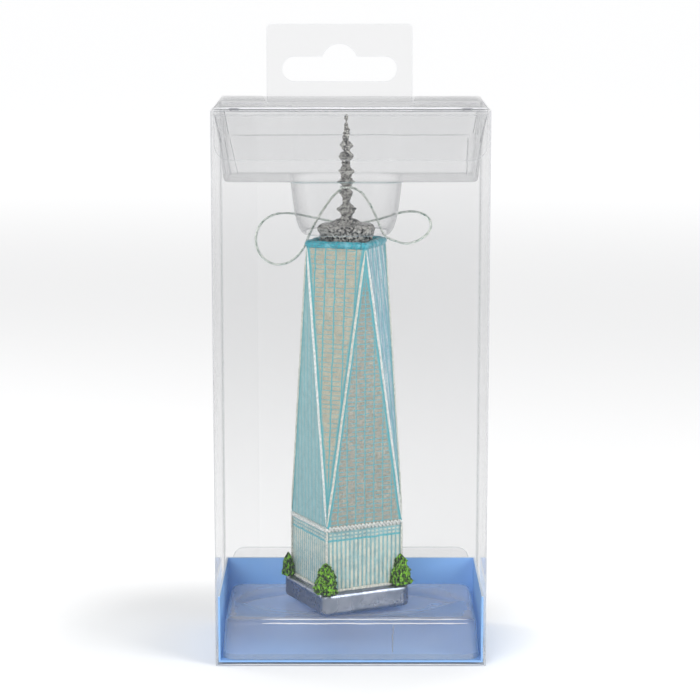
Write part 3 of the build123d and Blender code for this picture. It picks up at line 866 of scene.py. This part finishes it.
def makeTrayLines():
    # the shoulder, the well's mouth and the creased corners catch the light as fine lines
    low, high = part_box("upper_tray")
    middleX, middleY = (low.x + high.x) / 2, (low.y + high.y) / 2
    wide, deep = (high.x - low.x) / 2, (high.y - low.y) / 2
    shoulderZ, floorZ = high.z - pan["flare"], trayLines["floor"]
    endX = wide - pan["inShoulder"] * pan["endShare"] - 1.6 * mm
    backY = middleY + deep - pan["inShoulder"] * pan["rimLean"] - 0.35 * mm
    makeLevelRod("shoulderLineBack", middleX - endX, middleX + endX, backY, shoulderZ, trayLines["fine"],
                 trayLine, "carton", wobble=0.15 * mm)
    mouth = well["mouth"] / 2
    makeLevelRod("mouthLine", towerX - mouth, towerX + mouth, -mouth - 0.7 * mm, floorZ, trayLines["fine"],
                 tealLine, "carton")
    frontY = middleY - deep + pan["inShoulder"] * pan["rimLean"] + 0.3 * mm
    for number, (side, inTop, inFoot, radius) in enumerate(trayLines["walls"]):
        topX = middleX + side * (wide - inTop * mm)
        footX = middleX + side * (wide - inFoot * mm)
        makeRod("wallLine" + "ABCDE"[number], (topX, frontY, shoulderZ + 1.5 * mm),
                (footX, frontY + 1.4 * mm, floorZ + 2.2 * mm),
                radius * mm, trayLine, "carton", wobble=0.1 * mm)


def makeLowerTray():
    low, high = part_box("lower_tray")
    middleX, middleY = (low.x + high.x) / 2, (low.y + high.y) / 2
    fullWidth, fullDepth = high.x - low.x, high.y - low.y
    top, draft, rounding = high.z, 0.8 * mm, 1.7 * mm
    levels = [(low.z + 0.05 * mm, 0.0, 4.0 * mm)]
    for step in range(1, 6):
        share = step / 6
        levels.append((low.z + (top - rounding - low.z) * share, draft * share * 0.85, 4.0 * mm))
    for step in range(8):
        angle = math.radians(90 * step / 7)
        levels.append((top - skin - rounding + rounding * math.sin(angle),
                       draft * 0.85 + rounding * (1 - math.cos(angle)),
                       max(1.5 * mm, 4.0 * mm - rounding * (1 - math.cos(angle)))))
    corner, side = 8, 60
    points = []
    for z, inset, radius in levels:
        for x, y, onCorner in roundedRing(fullWidth - 2 * inset - 2 * skin, fullDepth - 2 * inset - 2 * skin,
                                          radius, corner, side):
            wave = 0.1 * mm * noise.noise(Vector((x * 90, z * 60,
                                                  5))) if not onCorner and z < top - 2 * mm else 0
            points.append((middleX + x, middleY + y - math.copysign(abs(wave), y), z))
    count = 4 * (corner + 1) + 4 * (side - 1)
    plan = points[-count:]
    length, width, dish = 62.0 * mm, 27.0 * mm, 0.9 * mm
    bow = (length ** 2 + width ** 2) / (4 * width)
    shift = bow - width / 2
    rings = len(levels)
    for shrink, drop in ((0.0, 0.0), (0.12 * mm, 0.12 * mm), (0.35 * mm, 0.6 * mm), (0.8 * mm, 0.88 * mm),
                         (1.6 * mm, 0.9 * mm)):
        for px, py, _ in plan:
            angle = math.atan2(py - middleY, px - middleX)
            wayX, wayY = math.cos(angle), math.sin(angle)
            # where the ray from the middle meets the lens's nearer arc
            offset = shift if wayY >= 0 else -shift
            radius = bow - shrink
            half = wayY * offset
            reach = -half + math.sqrt(max(0.0, half * half - offset * offset + radius * radius))
            points.append((towerX + wayX * reach, wayY * reach, top - skin - drop))
        rings += 1
    points.append((towerX, 0, top - skin - dish))
    faces = bridge(rings, count)
    last = (rings - 1) * count
    faces += [(last + j, last + (j + 1) % count, len(points) - 1) for j in range(count)]
    dishRows = (rings - 6, rings - 5)
    slots = [1 if index < count else (2 if index // count in dishRows else 0) for index in range(len(faces))]
    addPiece("lowerTray", points, faces, [lowTrayFilm, filmEdge, lowTrayFilm], "carton", ["lower_tray"],
             slots=slots)
    y = low.y + draft * 0.85 + 0.45 * mm
    for name, z, radius, back in (("trayGlintUpper", top - 0.25 * mm, 0.16 * mm, 1.2 * mm),
                                  ("trayGlintLower", top - 1.1 * mm, 0.2 * mm, 0.25 * mm)):
        makeLevelRod(name, low.x + 11 * mm, high.x - 3.5 * mm, y + back, z, radius, trayGlint, "carton",
                     wobble=0.12 * mm)
    x = 11.2 * mm
    makeRod("traySeam", (x, low.y + 0.3 * mm, low.z + 2 * mm),
            (x + 0.3 * mm, low.y + 1.0 * mm, top - 1.4 * mm), 0.16 * mm, trayLine,
            "carton", wobble=0.3 * mm)


lowTrayFilm = makeFilm("lowTrayFilm", grey=(0.74, 0.75, 0.80), haze=0.19, rise=0.6, fallOff=2.2,
                       wave=0.08 * mm, dust=0.03)
trayLine = makeFilm("trayLine", grey=(0.30, 0.31, 0.33), haze=0.34, rise=0.55, fallOff=1.2)
tealLine = makeFilm("tealLine", grey=(0.16, 0.36, 0.38), haze=0.45, rise=0.4, fallOff=1.2)
trayGlint = makeFilm("trayGlint", grey=(0.95, 0.96, 0.98), haze=0.7, rise=0.3, rough=0.3)
print("trays")
makeUpperTray()
makeTrayLines()
makeLowerTray()


# the glass tower
tower = {"turn": 26.0, "podiumSide": 22.9 * mm, "crownSide": 16.8 * mm, "edgeRound": 0.45 * mm,
         "edgePull": 0.10 * mm,
         "rows": 90, "panes": 6, "ribRise": 0.16 * mm, "ribPitch": 1.272 * mm, "footLift": 0.05 * mm}
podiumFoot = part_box("plinth")[1].z
podiumTop = sum(corner.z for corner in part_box("podium_band")) / 2
crownTop = sum(corner.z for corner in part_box("crown_band")) / 2
shaftHeight = crownTop - podiumTop
cream, teal, paleTeal, iceBlue = (0.45, 0.44, 0.34), (0.045, 0.36, 0.42), (0.25, 0.44, 0.46), (0.22, 0.42,
                                                                                               0.55)
leftTeal, warmGrey, snowWhite = (0.25, 0.46, 0.48), (0.38, 0.38, 0.32), (0.72, 0.78, 0.78)


def squareCorner(side, angle, z):
    radius, turnAngle = side / math.sqrt(2), math.radians(angle)
    return Vector((towerX + radius * math.cos(turnAngle), radius * math.sin(turnAngle), z))


def lowCorner(i):
    return squareCorner(tower["podiumSide"], tower["turn"] + 45 + 90 * i, podiumTop)


def highCorner(i):
    return squareCorner(tower["crownSide"], tower["turn"] + 90 * i, crownTop)


def stripes(tree, value, pitch, width, soft):
    # 1 on a line, 0 between lines, for lines a pitch apart
    away = maths(tree, "ABSOLUTE", minus(tree, maths(tree, "FRACT", maths(tree, "DIVIDE", value, pitch)),
                                         0.5))
    return rescale(tree, away, 0.5 - (width + soft) / pitch, 0.5 - width / pitch, smooth=True)


def startPaint(name, angle):
    # paint laid out by its place across a face that lies along angle, and by height
    material, tree, shader = startMaterial(name, rough=0.4, specular=0.5, coat=0.35, coatRough=0.18)
    where = place(tree)
    direction = (math.cos(math.radians(angle)), math.sin(math.radians(angle)), 0)
    across = minus(tree, alongAxis(tree, where, direction), towerX * direction[0])
    wobble = noiseOf(tree, where, 4 * mm, 2.0)
    across = plus(tree, across, rescale(tree, wobble, 0.3, 0.7, -0.13 * mm, 0.13 * mm))
    height = plus(tree, alongAxis(tree, where, (0, 0, 1)),
                   rescale(tree, noiseOf(tree, stretched(tree, where, (1, 1, 0.6)), 3 * mm, 2.0), 0.3, 0.7,
                           -0.12 * mm, 0.12 * mm))
    return material, tree, shader, where, across, height


def makeFacetPaint(name, angle, upright, base, shade, columns, rows, columnStrength, rowStrength, streak=0.0,
                   grit=0.5, lineWidth=0.10 * mm):
    # grainy paint with teal lines up and across, and a teal band beside the facet's edges
    material, tree, shader, where, across, height = startPaint(name, angle)
    flecks = cellsOf(tree, where, 0.32 * mm)
    speck = rescale(tree, alongAxis(tree, flecks, (0.5, 0.3, 0.2)), 0.2, 0.8)
    mottle = rescale(tree, noiseOf(tree, where, 2.2 * mm, 4.0), 0.35, 0.65)
    colour = mixColour(tree, mottle, base, tuple(0.82 * c for c in base))
    colour = mixColour(tree, times(tree, speck, grit), colour, tuple(0.52 * c for c in base))
    # painted shade: the colour darkens towards the top of the shaft, by the facet's shade share
    nearTop = rescale(tree, height, crownTop - 0.42 * shaftHeight, crownTop, smooth=True)
    colour = mixColour(tree, times(tree, nearTop, shade), colour, (0.16, 0.20, 0.19))
    if streak:
        long = rescale(tree, noiseOf(tree, stretched(tree, where, (1, 1, 0.06)), 0.7 * mm, 3.0), 0.48, 0.62)
        colour = mixColour(tree, times(tree, long, streak), colour, snowWhite)
    worn = rescale(tree, noiseOf(tree, where, 1.6 * mm, 3.0), 0.36, 0.52)
    lineUp = times(tree, stripes(tree, across, columns, lineWidth, 0.16 * mm), columnStrength)
    lineAcross = times(tree, stripes(tree, height, rows, 0.05 * mm, 0.13 * mm), rowStrength)
    lineAcross = times(tree, lineAcross, worn)
    grid = maths(tree, "MAXIMUM", lineUp, lineAcross)
    # a teal band runs beside the facet's edges
    share = rescale(tree, height, podiumTop, crownTop)
    if upright:
        half = times(tree, minus(tree, 1.0, share), tower["podiumSide"] / 2)
    else:
        half = times(tree, share, tower["crownSide"] / 2)
    fromEdge = minus(tree, half, maths(tree, "ABSOLUTE", across))
    band = rescale(tree, fromEdge, 0.6 * mm, 1.35 * mm, 0.9, 0.0, smooth=True)
    paint = maths(tree, "MAXIMUM", grid, band, clamp=True)
    feed(tree, mixColour(tree, paint, colour, teal), shader.inputs["Base Color"])
    feed(tree, rescale(tree, speck, 0, 1, 0.28, 0.55), shader.inputs["Roughness"])
    grains = times(tree, cellsOf(tree, where, 0.3 * mm, "Distance"), 0.8)
    addBump(tree, shader, minus(tree, grains, times(tree, grid, 0.6)), 0.12 * mm, 0.8)
    return material


def makePodiumPaint(name, angle):
    material, tree, shader, where, _, height = startPaint(name, angle)
    pitch = tower["ribPitch"]
    rib = stripes(tree, plus(tree, alongAxis(tree, where, (math.cos(math.radians(angle)),
                                                           math.sin(math.radians(angle)), 0)),
                              -towerX * math.cos(math.radians(angle)) + tower["podiumSide"] / 2), pitch,
                              0.27 * mm, 0.22 * mm)
    rowMark = stripes(tree, height, 1.0 * mm, 0.16 * mm, 0.14 * mm)
    inBand = rescale(tree, height, podiumTop - 3.4 * mm, podiumTop - 3.1 * mm)
    cells = times(tree, rib, minus(tree, 1.0, times(tree, rowMark, inBand)))
    worn = rescale(tree, noiseOf(tree, where, 1.8 * mm, 3.0), 0.30, 0.60, 0.35, 1.0)
    mottle = rescale(tree, noiseOf(tree, where, 3.0 * mm, 3.0), 0.35, 0.65)
    ground = mixColour(tree, mottle, paleTeal, tuple(0.72 * c for c in paleTeal))
    speck = rescale(tree, alongAxis(tree, cellsOf(tree, where, 0.3 * mm), (0.5, 0.3, 0.2)), 0.25, 0.8)
    ground = mixColour(tree, times(tree, speck, 0.25), ground, teal)
    colour = mixColour(tree, times(tree, cells, worn), ground, (0.58, 0.60, 0.51))
    rule = stripes(tree, minus(tree, height, podiumTop - 3.25 * mm), 60 * mm, 0.16 * mm, 0.14 * mm)
    ruleBand = times(tree, rule, 0.85)
    colour = mixColour(tree, ruleBand, colour, teal)
    feed(tree, colour, shader.inputs["Base Color"])
    feed(tree, rescale(tree, speck, 0, 1, 0.25, 0.5), shader.inputs["Roughness"])
    grains = cellsOf(tree, where, 0.28 * mm, "Distance")
    addBump(tree, shader, plus(tree, times(tree, grains, 0.4), cells), 0.15 * mm, 0.8)
    return material


def makeGlitter(name, dark, light, grain, metal=0.8, rough=0.3, tint=None, tintShare=0.0):
    # coarse glitter: each grain its own brightness and tilt
    material, tree, shader = startMaterial(name, metal=metal, rough=rough, coat=0.3, coatRough=0.1)
    where = place(tree)
    flecks = cellsOf(tree, where, grain)
    level = rescale(tree, alongAxis(tree, flecks, (0.5, 0.3, 0.2)), 0.38, 0.62)
    colour = mixColour(tree, level, dark, light)
    if tint:
        patch = rescale(tree, noiseOf(tree, where, grain * 5, 3.0), 0.5, 0.62, 0, tintShare)
        colour = mixColour(tree, patch, colour, tint)
    feed(tree, colour, shader.inputs["Base Color"])
    feed(tree, rescale(tree, level, 0, 1, rough * 1.6, rough * 0.7), shader.inputs["Roughness"])
    height = plus(tree, alongAxis(tree, flecks, (0.3, 0.3, 0.4)),
                  cellsOf(tree, where, grain * 0.6, "Distance"))
    addBump(tree, shader, height, grain * 0.6)
    return material


def makeShaft():
    flat, up = tower["turn"], tower["turn"] + 90  # the two directions of the podium's sides
    leftPaint = (True, leftTeal, 0.0, 2.2 * mm, 2.3 * mm, 0.7, 0.15, 0.0, 0.25, 0.2 * mm)
    icePaint = (False, iceBlue, 0.25, 3.4 * mm, 0.9 * mm, 0.85, 0.45, 0.6, 0.5, 0.36 * mm)
    sides = [  # inverted facet, then upright facet, round from the back
        makeFacetPaint("facetBack", up + 45, False, cream, 0.2, 2.9 * mm, 1.25 * mm, 0.95, 0.75),
        makeFacetPaint("facetBackLeft", flat, *leftPaint),
        makeFacetPaint("facetLeft", flat + 45, *icePaint),
        makeFacetPaint("facetFrontLeft", up, *leftPaint),
        makeFacetPaint("facetFront", up + 45, False, cream, 0.05, 2.9 * mm, 1.25 * mm, 0.95, 0.75),
        makeFacetPaint("facetFrontRight", flat, True, warmGrey, 0.85, 2.7 * mm, 1.2 * mm, 0.75, 0.9, 0.0,
                       0.9),
        makeFacetPaint("facetRight", flat + 45, *icePaint),
        makeFacetPaint("facetBackRight", up, True, warmGrey, 0.5, 2.7 * mm, 1.2 * mm, 0.75, 0.9, 0.0, 0.9)]
    rows, panes = tower["rows"], tower["panes"]
    points, slots = [], []
    for row in range(rows + 1):
        share = row / rows
        corners = []
        for i in range(4):
            corners += [lowCorner(i).lerp(highCorner(i), share), lowCorner(i).lerp(highCorner(i + 1), share)]
        axis = Vector((towerX, 0, corners[0].z))
        for k, at in enumerate(corners):
            after = corners[(k + 1) % 8]
            run = (after - at).length
            rounding = min(tower["edgeRound"], run / 3)
            inward = (axis - at).normalized()
            points.append(at + inward * tower["edgePull"] * min(1, run / (1 * mm)))
            step = (after - at).normalized() if run > 1e-7 else Vector((0, 0, 0))
            for pane in range(panes):
                paneAt = at + step * (rounding + (run - 2 * rounding) * pane / (panes - 1))
                dip = 0.07 * mm * (0.5 + 0.5 * noise.noise(paneAt * 260))
                points.append(paneAt + (axis - paneAt).normalized() * dip)
    count = 8 * (panes + 1)
    faces = bridge(rows + 1, count)
    slots = [(index % count) // (panes + 1) for index in range(len(faces))]
    faces += [tuple(reversed(range(count))), tuple(rows * count + j for j in range(count))]
    slots += [0, 8]
    sides.append(makeGlitter("crownGround", (0.012, 0.16, 0.20), (0.05, 0.36, 0.42), 0.5 * mm, metal=0.1))
    shaft = addPiece("paintedShaft", points, faces, sides, "carton", ["tower_glass"], slots=slots)


def makePodium():
    paints = [makePodiumPaint("podiumRibsAcross", tower["turn"]),
              makePodiumPaint("podiumRibsAlong", tower["turn"] + 90)]
    half, pitch, rows, steps = tower["podiumSide"] / 2 - tower["ribRise"], tower["ribPitch"], 40, 144
    ring, slots = [], []
    for side in range(4):
        angle = math.radians(tower["turn"] + 90 * side)
        along, out = Vector((math.cos(angle), math.sin(angle), 0)), Vector((math.sin(angle),
                                                                            -math.cos(angle), 0))
        for step in range(steps):
            run = -half + 2 * half * step / steps
            inBody = softStep(min(run + half, half - run), 0.1 * mm, 0.7 * mm)
            ridge = 0.5 + 0.5 * math.cos(2 * math.pi * (run + tower["podiumSide"] / 2) / pitch)
            ring.append((along, out, run, ridge ** 1.5 * inBody, inBody))
            slots.append(side % 2)
    points = []
    for row in range(rows + 1):
        share = row / rows
        z = podiumFoot - tower["footLift"] + (podiumTop - podiumFoot + tower["footLift"]) * share
        inTiles = softStep(z, podiumTop - 3.5 * mm, podiumTop - 3.2 * mm) > 0.5
        fade = softStep(z, podiumFoot + 0.3 * mm, podiumFoot + 1.6 * mm)
        tileRise = 0.5 + 0.5 * math.cos(2 * math.pi * z / (1.0 * mm)) if inTiles else 1
        for along, out, run, ridge, inBody in ring:
            rise = tower["ribRise"] * ridge * fade * tileRise
            pull = 0.12 * mm * (1 - inBody)
            wave = 0.05 * mm * noise.noise(Vector((run * 300, z * 200, out.x * 5)))
            at = Vector((towerX, 0, z)) + along * run + out * (half + rise - pull + wave)
            points.append(at)
    count = len(ring)
    faces = bridge(rows + 1, count)
    tiled = slots * rows
    faces += [tuple(reversed(range(count))), tuple(rows * count + j for j in range(count))]
    podium = addPiece("paintedPodium", points, faces, paints, "carton", ["tower_glass"],
                      slots=tiled + [0, 0])


def squarePath(half, angle, z, corner):
    # a closed square line round the tower, turned to the angle
    path = []
    turnAngle = math.radians(angle)
    for x, y, _ in roundedRing(2 * half, 2 * half, corner, 6, 24):
        path.append(Vector((towerX + x * math.cos(turnAngle) - y * math.sin(turnAngle),
                            x * math.sin(turnAngle) + y * math.cos(turnAngle), z)))
    return path + path[:1]


def makeTrim():
    # the rope-like band of white glitter over the podium, and the teal one round the crown
    white = makeGlitter("whiteGlitter", (0.62, 0.66, 0.64), (0.97, 0.97, 0.94), 0.22 * mm, metal=0.05,
                        rough=0.4)
    tealGloss = makeGlitter("tealPaint", (0.012, 0.26, 0.34), (0.03, 0.42, 0.52), 0.5 * mm, metal=0.0,
                            rough=0.22,
                            tint=(0.25, 0.66, 0.78), tintShare=0.5)
    creamLine = makeGlitter("creamGlitter", (0.52, 0.54, 0.48), (0.92, 0.90, 0.82), 0.2 * mm, metal=0.05,
                            rough=0.45)
    path, _ = evenly(squarePath(tower["podiumSide"] / 2 - 0.12 * mm, tower["turn"], podiumTop, 0.8 * mm),
                     0.2 * mm)
    points, faces = twistedStrands(path, 2, 0.80 * mm, 2.2 * mm, 10)
    band = addPiece("podiumRope", points, faces, [white], "carton", ["podium_band"])
    path, _ = evenly(squarePath(tower["crownSide"] / 2 - 0.15 * mm, tower["turn"] - 45, crownTop, 1.1 * mm),
                     0.3 * mm)
    points, faces = twistedStrands(path, 1, 1.02 * mm, 5 * mm, 14,
                                   swell=lambda i: 1 + 0.22 * noise.noise(path[i] * 420))
    band = addPiece("crownRope", points, faces, [tealGloss], "carton", ["crown_band"])
    path, _ = evenly(squarePath(tower["podiumSide"] / 2 + 0.1 * mm, tower["turn"], podiumFoot + 0.2 * mm,
                                1.2 * mm), 0.25 * mm)
    points, faces = twistedStrands(path, 1, 0.42 * mm, 5 * mm, 8,
                                   swell=lambda i: 1 + 0.55 * noise.noise(path[i] * 420))
    addPiece("footBead", points, faces, [creamLine], "carton")
    for i in range(4):
        for number, high in enumerate((highCorner(i), highCorner(i + 1))):
            low = lowCorner(i)
            start, end = low.lerp(high, 0.012), low.lerp(high, 0.985)
            rib = makeRod("edgeLine" + "ABCD"[i] + str(number + 1), start, end, 0.33 * mm,
                          creamLine if number else white,
                          "carton", wobble=0.12 * mm, steps=120)
        at = squareCorner(tower["podiumSide"] - 0.15 * mm, tower["turn"] + 45 + 90 * i,
                          podiumFoot + 0.3 * mm)
        rib = makeRod("podiumCorner" + "ABCD"[i], at, Vector((at.x, at.y, podiumTop - 0.3 * mm)), 0.30 * mm,
                      creamLine, "carton",
                      wobble=0.1 * mm, steps=40)


def revolved(name, profile, axisX, axisY, material, nodes, sides, rough):
    # a turned shape whose surface is broken up by rough(angle, z, radius)
    points = []
    for radius, z in profile:
        for k in range(sides):
            angle = 2 * math.pi * k / sides
            reach = radius + rough(angle, z, radius)
            points.append((axisX + reach * math.cos(angle), axisY + reach * math.sin(angle), z))
    faces = bridge(len(profile), sides)
    faces += [tuple(reversed(range(sides))), tuple((len(profile) - 1) * sides + k for k in range(sides))]
    return addPiece(name, points, faces, [material], "carton", nodes)


def finer(profile, gap):
    # the same profile with more points, no further apart than the gap
    result = []
    for (r0, z0), (r1, z1) in zip(profile, profile[1:]):
        steps = max(1, math.ceil(math.hypot(r1 - r0, z1 - z0) / gap))
        result += [(r0 + (r1 - r0) * i / steps, z0 + (z1 - z0) * i / steps) for i in range(steps)]
    return result + [profile[-1]]


spire = {"grain": 0.42 * mm, "beads": [
    (1.5, 7.2), (2.75, 9.0), (0.93, 10.7), (0.93, 11.5), (1.9, 13.5), (1.0, 14.5), (1.0, 15.1), (2.4, 16.3),
    (1.2, 17.6), (2.3, 19.2), (1.15, 20.4), (1.15, 21.9), (2.2, 23.2), (0.85, 24.6), (1.85, 26.3),
    (0.8, 27.6), (0.95, 28.3),
    (0.8, 29.2), (0.85, 30.0), (0.6, 31.6), (0.2, 32.5), (0.24, 32.9), (0.62, 33.5), (0.6, 34.0),
    (0.15, 34.6)]}


def makeSpire():
    grey = makeGlitter("greyGlitter", (0.003, 0.003, 0.003), (0.66, 0.65, 0.60), spire["grain"], metal=0.6,
                       rough=0.26)
    low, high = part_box("spire_cap")
    radius = (high.x - low.x) / 2

    def mastRough(angle, z, r):
        bumpy = noise.noise(Vector((math.cos(angle) * 1.6, math.sin(angle) * 1.6, z / (0.55 * mm))))
        return min(0.30 * mm, 0.55 * mm * bumpy) * min(1, r / (0.9 * mm)) - 0.04 * mm

    def capRough(angle, z, r):
        bumpy = noise.noise(Vector((math.cos(angle) * 6, math.sin(angle) * 6, z / (0.9 * mm))))
        fine = noise.noise(Vector((math.cos(angle) * 17, math.sin(angle) * 17, z / (0.4 * mm))))
        return (0.42 * mm * bumpy + 0.25 * mm * fine - 0.42 * mm) * min(1, r / (3 * mm))

    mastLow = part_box("spire_mast")[0].z
    crown = low.z
    profile = [(1.7 * mm, mastLow), (1.75 * mm, high.z)]
    profile += [(r * mm, crown + h * mm) for r, h in spire["beads"]]
    revolved("spireMast", finer(profile, 0.22 * mm), towerX, 0, grey, ["spire_mast"], 28, mastRough)
    profile = [(radius - 0.9 * mm, low.z + 0.02 * mm), (radius - 0.4 * mm, low.z + 1.3 * mm),
               (radius + 0.35 * mm, high.z - 2.5 * mm),
               (radius - 0.6 * mm, high.z - 1.6 * mm), (0.62 * radius, high.z - 1.35 * mm),
               (0.5 * radius, high.z - 0.9 * mm),
               (0.36 * radius, high.z - 0.25 * mm), (1.9 * mm, high.z - 0.05 * mm),
               (0.4 * mm, high.z - 0.02 * mm)]
    revolved("spireCap", finer(profile, 0.28 * mm), towerX, 0, grey, ["spire_cap"], 110, capRough)


firTree = {"sizes": {"firRight": (3.05, 1.0, -1.2, -0.3), "firBack": (3.1, 1.0, 0, 0),
                     "firLeft": (1.75, 0.78, -0.2, -2.2),
                     "firFront": (3.25, 1.0, 0, 0)},
                     # radius, share of the height, and how far it stands off its corner
           "outline": [(0.90, 0.0), (1.02, 0.07), (0.99, 0.22), (0.90, 0.38), (0.78, 0.55), (0.60, 0.72),
                       (0.38, 0.87),
                       (0.14, 0.97), (0.02, 1.0)], "needles": 0.5 * mm}


def makeTreeGreen():
    material, tree, shader = startMaterial("greenGlitter", metal=0.15, rough=0.35, specular=0.3, coat=0.1,
                                           coatRough=0.15)
    where = place(tree)
    strands = noiseOf(tree, stretched(tree, where, (1, 1, 0.45)), 0.55 * mm, 3.0)
    level = rescale(tree, strands, 0.46, 0.64)
    glint = rescale(tree, alongAxis(tree, cellsOf(tree, where, 0.3 * mm), (0.5, 0.3, 0.2)), 0.45, 0.8)
    colour = mixColour(tree, level, (0.004, 0.020, 0.001), (0.17, 0.50, 0.004))
    colour = mixColour(tree, times(tree, times(tree, glint, level), 0.6), colour, (0.45, 0.85, 0.08))
    feed(tree, colour, shader.inputs["Base Color"])
    addBump(tree, shader, strands, 0.45 * mm)
    return material


def makeTrees():
    green = makeTreeGreen()
    placed = (("firRight", "tree_right", 3), ("firBack", "tree_back", 0), ("firLeft", "tree_left", 1),
              ("firFront", "tree_front", 2))
    for number, (name, node, quarter) in enumerate(placed):
        low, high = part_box(node)
        angle = math.radians(tower["turn"] + 45 + 90 * quarter)
        reach = (tower["podiumSide"] / 2 + 0.55 * mm) * math.sqrt(2)
        x, y = towerX + reach * math.cos(angle), reach * math.sin(angle)
        wide, share, shiftX, shiftY = firTree["sizes"][name]
        x, y = x + shiftX * mm, y + shiftY * mm
        radius, tall = wide * mm, (high.z - low.z) * share - 0.1 * mm

        def needles(turnAngle, z, r):
            droop = noise.noise(Vector((math.cos(turnAngle) * 3.4, math.sin(turnAngle) * 3.4,
                                        z / (0.9 * mm) + number * 7)))
            comb = noise.noise(Vector((math.cos(turnAngle) * 9, math.sin(turnAngle) * 9,
                                       z / (0.45 * mm) + number * 3)))
            spread = 0.85 * mm * droop + firTree["needles"] * comb - 0.2 * mm
            return spread * min(1, r / (1.4 * mm)) * min(1, radius / (3 * mm))

        profile = finer([(r * radius, low.z + 0.03 * mm + h * tall) for r, h in firTree["outline"]],
                        0.2 * mm)
        revolved(name, profile, x, y, green, [node], 56, needles)


def dressNode(node, material):
    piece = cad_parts[node]
    for slot in piece.material_slots:
        slot.material = material
    if not piece.material_slots:
        piece.data.materials.append(material)


def makeSilver():
    material, tree, shader = startMaterial("satinSilver", metal=0.85)
    where = place(tree)
    cloud = rescale(tree, noiseOf(tree, where, 5 * mm, 3.0), 0.35, 0.65)
    feed(tree, mixColour(tree, cloud, (0.30, 0.33, 0.40), (0.22, 0.25, 0.31)), shader.inputs["Base Color"])
    feed(tree, rescale(tree, cloud, 0, 1, 0.22, 0.32), shader.inputs["Roughness"])
    ripple = plus(tree, noiseOf(tree, where, 2.5 * mm, 2.0), times(tree, noiseOf(tree, where, 0.3 * mm, 2.0),
                                                                   0.12))
    addBump(tree, shader, ripple, 0.12 * mm)
    return material


def makeCardPaper():
    material, tree, shader = startMaterial("blueCard", rough=0.5, specular=0.4, coat=0.15, coatRough=0.3)
    where = place(tree)
    fibre = noiseOf(tree, where, 0.35 * mm, 4.0)
    tone = mixColour(tree, rescale(tree, noiseOf(tree, where, 14 * mm, 2.0), 0.35, 0.65), (0.26, 0.52, 0.93),
                     (0.30, 0.55, 0.95))
    tone = mixColour(tree, rescale(tree, fibre, 0.35, 0.7, 0.0, 0.12), tone, (0.36, 0.56, 0.92))
    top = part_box("card_insert")[1].z
    raw = rescale(tree, alongAxis(tree, where, (0, 0, 1)), top - 0.14 * mm, top - 0.05 * mm)
    feed(tree, mixColour(tree, raw, tone, (0.70, 0.78, 0.90)), shader.inputs["Base Color"])
    feed(tree, rescale(tree, fibre, 0.3, 0.7, 0.42, 0.6), shader.inputs["Roughness"])
    addBump(tree, shader, fibre, 0.03 * mm)
    return material


def makeCork():
    material, tree, shader = startMaterial("cork", rough=0.8, specular=0.2)
    where = place(tree)
    grain = cellsOf(tree, where, 0.5 * mm)
    level = rescale(tree, alongAxis(tree, grain, (0.4, 0.3, 0.3)), 0.2, 0.8)
    feed(tree, mixColour(tree, level, (0.25, 0.13, 0.06), (0.50, 0.32, 0.17)), shader.inputs["Base Color"])
    feed(tree, rescale(tree, level, 0, 1, 0.7, 0.9), shader.inputs["Roughness"])
    addBump(tree, shader, level, 0.1 * mm)
    return material


print("glass tower")
makeShaft()
makePodium()
makeTrim()
makeSpire()
print("trees, plinth, card")
makeTrees()
dressNode("plinth", makeSilver())
dressNode("card_insert", makeCardPaper())
dressNode("neck_plug", makeCork())
